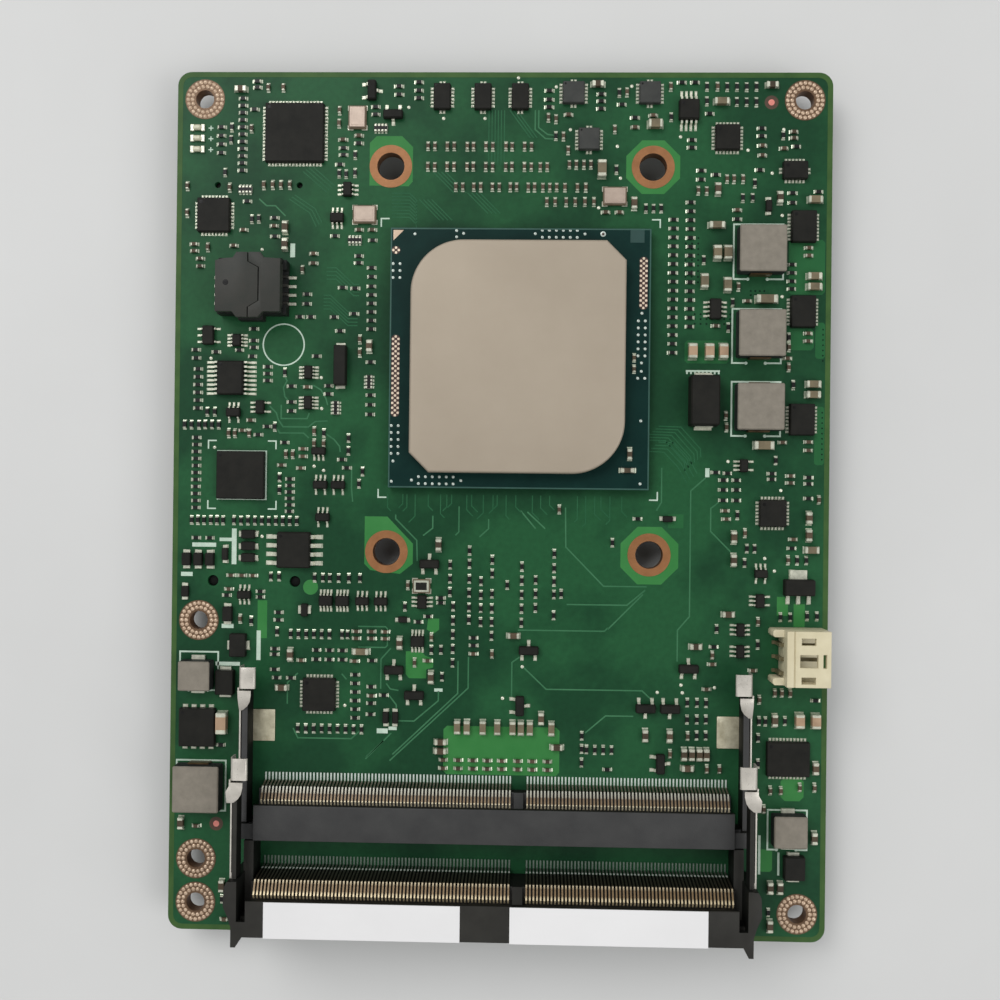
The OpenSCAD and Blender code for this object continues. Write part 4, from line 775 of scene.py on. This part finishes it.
# Indicator lights. Each is a pale resin dome that is cast over its die. Its two tinned ends are
# soldered to the board.
light_resin = surface("light_resin", (182, 180, 154), (204, 200, 174), 0.3, patch=0.8)
lights = []
for low, high in loose("indicator_lights"):
    dome_low = (low[0] + 0.45, low[1] + 0.1, low[2])
    dome_high = (high[0] - 0.45, high[1] - 0.1, high[2])
    lights.append(bevelled(dome_low, dome_high, 0.18, 0.05))
    for x0, x1 in ((low[0], low[0] + 0.55), (high[0] - 0.55, high[0])):
        lights.append(bevelled((x0, low[1], low[2]), (x1, high[1], low[2] + 0.35), 0.06, mark=1))
fitted("indicator_lights", lights, [light_resin, tin])


def soften(node, width, finish, body="module", segments=2, sharp=30):
    """A CAD part with its edges over sharp degrees rounded, in its place."""
    shape = bmesh.new()
    shape.from_mesh(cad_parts[node].data)
    bmesh.ops.remove_doubles(shape, verts=shape.verts, dist=1e-6)
    bmesh.ops.dissolve_limit(shape, angle_limit=0.01, verts=shape.verts, edges=shape.edges)
    edges = [edge for edge in shape.edges
             if len(edge.link_faces) == 2 and edge.calc_face_angle(0) > math.radians(sharp)]
    bmesh.ops.bevel(shape, geom=edges, offset=width / 1000, segments=segments, profile=0.5, affect="EDGES",
                    clamp_overlap=True)
    mesh = bpy.data.meshes.new(node + "_softened")
    shape.to_mesh(mesh)
    shape.free()
    mesh.materials.append(finish)
    mesh.polygons.foreach_set("material_index", [0] * len(mesh.polygons))
    return place_mesh(node + "_softened", mesh, body, (node,), 35)


# Flash socket. A clamshell of glass-filled plastic; the chip drops in and two covers swing shut
# over it, each on pins in the base, and press its leads on the contacts.
socket_grey = surface("flash_socket_plastic", (24, 26, 25), (36, 37, 35), 0.5, grain=7, bump=0.3, gloss=0.15)
cover_grey = surface("flash_cover_plastic", (46, 50, 46), (62, 60, 56), 0.45, patch=0.15, grain=7,
                     bump=0.3, gloss=0.18)
soften("flash_socket_base", 0.05, socket_grey)
for side in ("left", "right"):
    soften(f"flash_{side}_cover", 0.07, cover_grey, f"cover_{side}")
dark_lead = surface("dark_lead", (44, 44, 40), (66, 64, 58), 0.4, metal=0.5, patch=1.0)
flash_x, row_reach, foot_top = -35.75, 5.2, 2.21
dress_parts("flash_socket_contacts", [dark_lead, tin],
            lambda at: int(at[2] < foot_top and abs(at[0] - flash_x) > row_reach))
piece("cover_moulded_mark", [dot(-38.9, 30.9, 0.42, 6.8, 0.006, 16)], [epoxy_mark],
      "cover_left")
dress("flash_chip", chip_epoxy)

# Fan header. Moulded cream nylon, its mouth to the board's edge. Three square pins are pressed through
# its back and soldered to the board.
header_cream = surface("header_nylon", (198, 188, 156), (214, 205, 174), 0.4, patch=0.3, grain=5,
                       bump=0.15, gloss=0.3)
soften("fan_header_housing", 0.08, header_cream)
dress("fan_header_pins", surface("header_pin", (90, 84, 60), (132, 122, 92), 0.35, metal=0.4, patch=0.8))

# Processor. Dies on a green laminate carrier under a nickel-plated copper lid, soldered to the
# board by balls; small capacitors and bare gold test spots surround the lid.
carrier_resist = surface("carrier_resist", (8, 36, 33), (15, 46, 41), 0.35, patch=0.3, gloss=0.12)
carrier_edge = surface("carrier_edge", (24, 66, 56), (36, 82, 70), 0.5, patch=0.5)
pale_spot = surface("nickel_gold_spot", (176, 188, 180), (206, 214, 204), 0.3, metal=0.4, patch=1.0)
cream_square = surface("test_square", (214, 194, 170), (236, 218, 194), 0.35, metal=0.3, patch=1.0)
strip_ground = surface("test_strip_ground", (46, 22, 16), (62, 32, 24), 0.5, patch=1.0)
peach_gold = surface("corner_mark_gold", (192, 166, 142), (208, 184, 160), 0.35, metal=0.3, patch=1.0)
faint_mark = surface("carrier_faint_mark", (18, 54, 48), (26, 64, 58), 0.4)
lid_nickel = surface("lid_nickel", (158, 146, 129), (168, 156, 139), 0.5, metal=0.2, patch=0.06,
                     grain=9, bump=0.2, gloss=0.25)
dress("processor_substrate", carrier_resist)
dress("processor_dies", chip_epoxy)
dress("processor_balls", tin)
soften("processor_lid", 0.4, lid_nickel, segments=4, sharp=50)
chip_parts("processor_capacitors", 0.3, [brown_ceramic], 5)
CARRIER_TOP = 3.65
carrier_half = 18.7
edge_line = [(carrier_x + sx * (carrier_half - 0.12), carrier_y + sy * (carrier_half - 0.12))
             for sx, sy in ((-1, -1), (1, -1), (1, 1), (-1, 1))]
piece("carrier_rim", [track(edge_line, 0.2, CARRIER_TOP, closed=True)], [carrier_edge])
gold = [field([(-15.5, 39.15), (-15.5, 37.65), (-14, 39.15)], CARRIER_TOP, mark=3)]


def gold_dot(x, y, radius=0.2):
    """A round spot on the carrier."""
    gold.append(dot(x, y, radius, CARRIER_TOP, 0.015))


for x, y in ((-12.4, 38.6), (-5.4, 38.7), (4.9, 38.7), (12, 38.7), (-6.4, 39.1), (-6.4, 38.2), (-15.2, 5.9),
             (-15.4, 3), (20.25, 27.4), (20.25, 20.3), (20.25, 19.1), (20.25, 12), (20.25, 3), (-12.5, 3.2),
             (-5.4, 3.2)):
    gold_dot(x, y)
gold_dot(14.6, 38.7, 0.4)
gold.append(dot(14.6, 38.7, 0.2, CARRIER_TOP + 0.018, 0.006, mark=2))
for i in range(6):
    for x, y in ((5.9, 39.2), (5.9, 38.2), (-11.5, 3.7), (-11.5, 2.7)):
        gold_dot(x + i, y)
for y in (34.3, 33.3, 32.3, 11, 10, 9, 8, 7):
    gold_dot(-15.5, y)
    gold_dot(-14.5, y)
for y in (26.3, 25.3, 24.3, 23.3, 22.3, 21.3, 18.1):
    gold_dot(19.75, y)
    gold_dot(20.75, y)


def checkered(x, y, rows, across=0.39, along=0.354, half=0.165):
    """A strip of small squares, two and one in turn, on bare dark ground; x is its middle line."""
    gold.append(oblong(x - across - 0.2, y - 0.2, x + across + 0.2, y + (rows - 1) * along + 0.2, 0.3,
                       CARRIER_TOP, 0.006, 2))
    for row in range(rows):
        for column in ((0,), (-1, 1))[row % 2]:
            middle_x, middle_y = x + column * across, y + row * along
            gold.append(oblong(middle_x - half, middle_y - half, middle_x + half, middle_y + half, 0.06,
                               CARRIER_TOP, 0.015, 1))


checkered(-15, 12.5, 33)
checkered(20.44, 28.16, 21)
checkered(-15.1, 35.9, 3)
piece("carrier_test_points", gold, [pale_spot, cream_square, strip_ground, peach_gold])
faint_square = oblong(18.5, 37.5, 20.5, 39.5, low=CARRIER_TOP, thick=0.005)
piece("carrier_square", [faint_square], [faint_mark])

# Memory sockets. Two slots of glass-filled plastic, one above the other's module, with sprung
# contacts on both sides of the slot, steel latches and tinned steel feet.
low_black = surface("low_socket_plastic", (52, 52, 52), (64, 64, 63), 0.5, patch=0.25, bump=0.35, gloss=0.2)
tall_black = surface("tall_socket_plastic", (38, 37, 34), (50, 49, 45), 0.5, patch=0.25,
                     bump=0.35, gloss=0.16)
# Bronze for the rear contacts, darkened as painted shade for the slots they stand in; their feet are tin.
bronze_in_painted_shade = surface("contact_bronze_painted_shade", (44, 40, 30), (78, 70, 52), 0.4, metal=0.4, patch=1.2, gloss=0.2)
latch_steel = surface("latch_steel", (186, 181, 170), (214, 208, 197), 0.3, metal=0.4, patch=0.6, grain=5,
                      bump=0.2)
hold_tin = surface("hold_down_solder", (166, 158, 130), (216, 210, 184), 0.35, metal=0.4, patch=0.8,
                   grain=2, bump=0.9)
label_film = surface("label_film", (218, 217, 216), (226, 225, 224), 0.45, patch=0.05, grain=3,
                     bump=0.05, gloss=0.3)
# The housings' upright faces are the same plastic as their tops; this near-black finish on them is painted
# shade.
painted_shade_socket_side = surface("socket_side_plastic", (17, 18, 16), (26, 27, 24), 0.55, patch=0.25, bump=0.3,
                      gloss=0.12)
paint_shade_on_sides(soften("low_socket_housing", 0.06, low_black), painted_shade_socket_side)
paint_shade_on_sides(soften("tall_socket_housing", 0.06, tall_black), painted_shade_socket_side)


def set_stops(ramp, stops):
    """Gives a ramp node its stops; each is a place from 0 to 1 and a colour."""
    elements = ramp.color_ramp.elements
    for number, (place, colour) in enumerate(stops):
        stop = elements[number] if number < 2 else elements.new(place)
        stop.position = place
        stop.color = colour


def contact_finish(name, row_y, lean, stops):
    """Finish of a contact row: tin at the foot, a riser darkened with painted shade, a bronze beam and a
    bright band near the tip.

    The colour follows the contact from its foot, at 3.3 mm behind row_y, to its tip; lean is how much
    of its height counts into that length. Each stop is a length in mm and its colour.
    """
    material, shader, add, link = new_finish(name)
    place = add("ShaderNodeTexCoord")
    parts = add("ShaderNodeSeparateXYZ")
    from_foot = add("ShaderNodeMapRange", clamp=False,
                    **{"From Min": (row_y + 3.3) / 1000, "From Max": (row_y + 2.3) / 1000})
    risen = add("ShaderNodeMapRange", clamp=False,
                **{"From Min": 0.0021, "From Max": 0.0031, "To Max": lean})
    length = add("ShaderNodeMath", operation="ADD")
    whole = stops[-1][0]
    share = add("ShaderNodeMapRange", **{"From Max": whole})
    ramp = add("ShaderNodeValToRGB")
    set_stops(ramp, [(at / whole, paint(*colour)) for at, colour in stops])
    link(place.outputs["Object"], parts.inputs[0])
    link(parts.outputs["Y"], from_foot.inputs["Value"])
    link(parts.outputs["Z"], risen.inputs["Value"])
    link(from_foot.outputs["Result"], length.inputs[0])
    link(risen.outputs["Result"], length.inputs[1])
    link(length.outputs[0], share.inputs["Value"])
    link(share.outputs["Result"], ramp.inputs["Fac"])
    link(ramp.outputs["Color"], shader.inputs["Base Color"])
    shader.inputs["Metallic"].default_value = 0.25
    shader.inputs["Roughness"].default_value = 0.35
    return material


# In both rows the dark bands where the contact rises in its slot are painted shade; the tall row's dimmer
# feet are painted shade too.
dress("low_front_contacts", contact_finish("low_contact", -42.7, 0.245, (
    (0, (206, 216, 206)), (1.05, (196, 208, 196)), (1.15, (96, 90, 74)), (1.95, (86, 80, 64)),
    (2.1, (172, 172, 158)), (2.9, (156, 150, 132)), (3.1, (112, 92, 68)), (3.9, (132, 110, 80)),
    (4.1, (230, 218, 184)), (4.55, (230, 218, 184)), (4.64, (70, 58, 42)))))
dress("tall_front_contacts", contact_finish("tall_contact", -54.8, 0.316, (
    (0, (128, 144, 130)), (1.05, (110, 124, 112)), (1.2, (70, 76, 66)), (1.6, (76, 80, 70)),
    (1.66, (204, 208, 200)), (1.82, (204, 208, 200)), (1.9, (48, 46, 38)), (3.3, (52, 46, 36)),
    (3.45, (178, 164, 136)), (3.75, (150, 134, 104)), (4, (112, 90, 58)), (4.9, (124, 100, 66)),
    (5.3, (212, 194, 156)), (5.9, (206, 188, 150)), (6.1, (70, 58, 42)))))
for node in ("low_rear_contacts", "tall_rear_contacts"):
    dress_parts(node, [bronze_in_painted_shade, tin], lambda at: int(at[2] < BOARD_TOP + 0.2))
for row in ("low", "tall"):
    for side in ("left", "right"):
        soften(f"{row}_{side}_latch", 0.05, latch_steel, f"latch_{row}_{side}")
for node in ("low_hold_downs", "tall_hold_downs"):
    soften(node, 0.08, hold_tin)
dress("left_label", label_film)
dress("right_label", label_film)

# Underside plugs. Two board-to-board plugs, moulded from liquid-crystal polymer. Their gold-plated
# contacts are soldered to the board's underside.
plug_black = surface("plug_plastic", (12, 14, 12), (22, 24, 21), 0.55, patch=0.25, bump=0.3, gloss=0.1)
plug_gold = surface("plug_gold", (196, 160, 84), (216, 184, 110), 0.3, metal=0.9, patch=0.8)
for plug in ("outer", "inner"):
    soften(plug + "_plug_housing", 0.06, plug_black)
    dress(plug + "_plug_contacts", plug_gold)

# Table and light. The board lies on a pale table under a wide window, in a room whose ceiling is bright
# all round, but dark straight above the board, where the camera hangs, and dark towards the walls.
table_top = -0.00405
bpy.ops.mesh.primitive_plane_add(size=3, location=(0, 0, table_top))
table = bpy.context.object
table.name = "table"
table.data.materials.append(surface("table_laminate", (200, 200, 198), (208, 208, 206), 0.75, patch=0.01,
                                    grain=1.0, bump=0.05, gloss=0.2))

room = bpy.data.worlds.new("room")
bpy.context.scene.world = room
room.use_nodes = True
sky = room.node_tree.nodes["Background"]
sky.inputs["Color"].default_value = (0.97, 0.98, 1.0, 1)
way = room.node_tree.nodes.new("ShaderNodeTexCoord")
split = room.node_tree.nodes.new("ShaderNodeSeparateXYZ")
fall = room.node_tree.nodes.new("ShaderNodeValToRGB")
set_stops(fall, [(height, (strength, strength, strength, 1)) for height, strength in
                 ((0, 0.12), (0.45, 0.56), (0.8, 0.98), (0.92, 0.9), (0.975, 0.06))])
room.node_tree.links.new(way.outputs["Generated"], split.inputs["Vector"])
room.node_tree.links.new(split.outputs["Z"], fall.inputs["Fac"])
room.node_tree.links.new(fall.outputs["Color"], sky.inputs["Strength"])


def lamp(name, size, power, spot):
    """A square lamp that faces the middle of the board."""
    light = bpy.data.lights.new(name, "AREA")
    light.size = size
    light.energy = power
    holder = add_object(name, light)
    holder.location = spot
    holder.rotation_euler = (-Vector(spot)).to_track_quat("-Z", "Y").to_euler()


lamp("window", 0.5, 3.4, (-0.35, 0.45, 0.7))
lamp("ceiling", 0.6, 3, (0.8, -0.3, 0.75))

bpy.context.scene.view_settings.view_transform = "Standard"
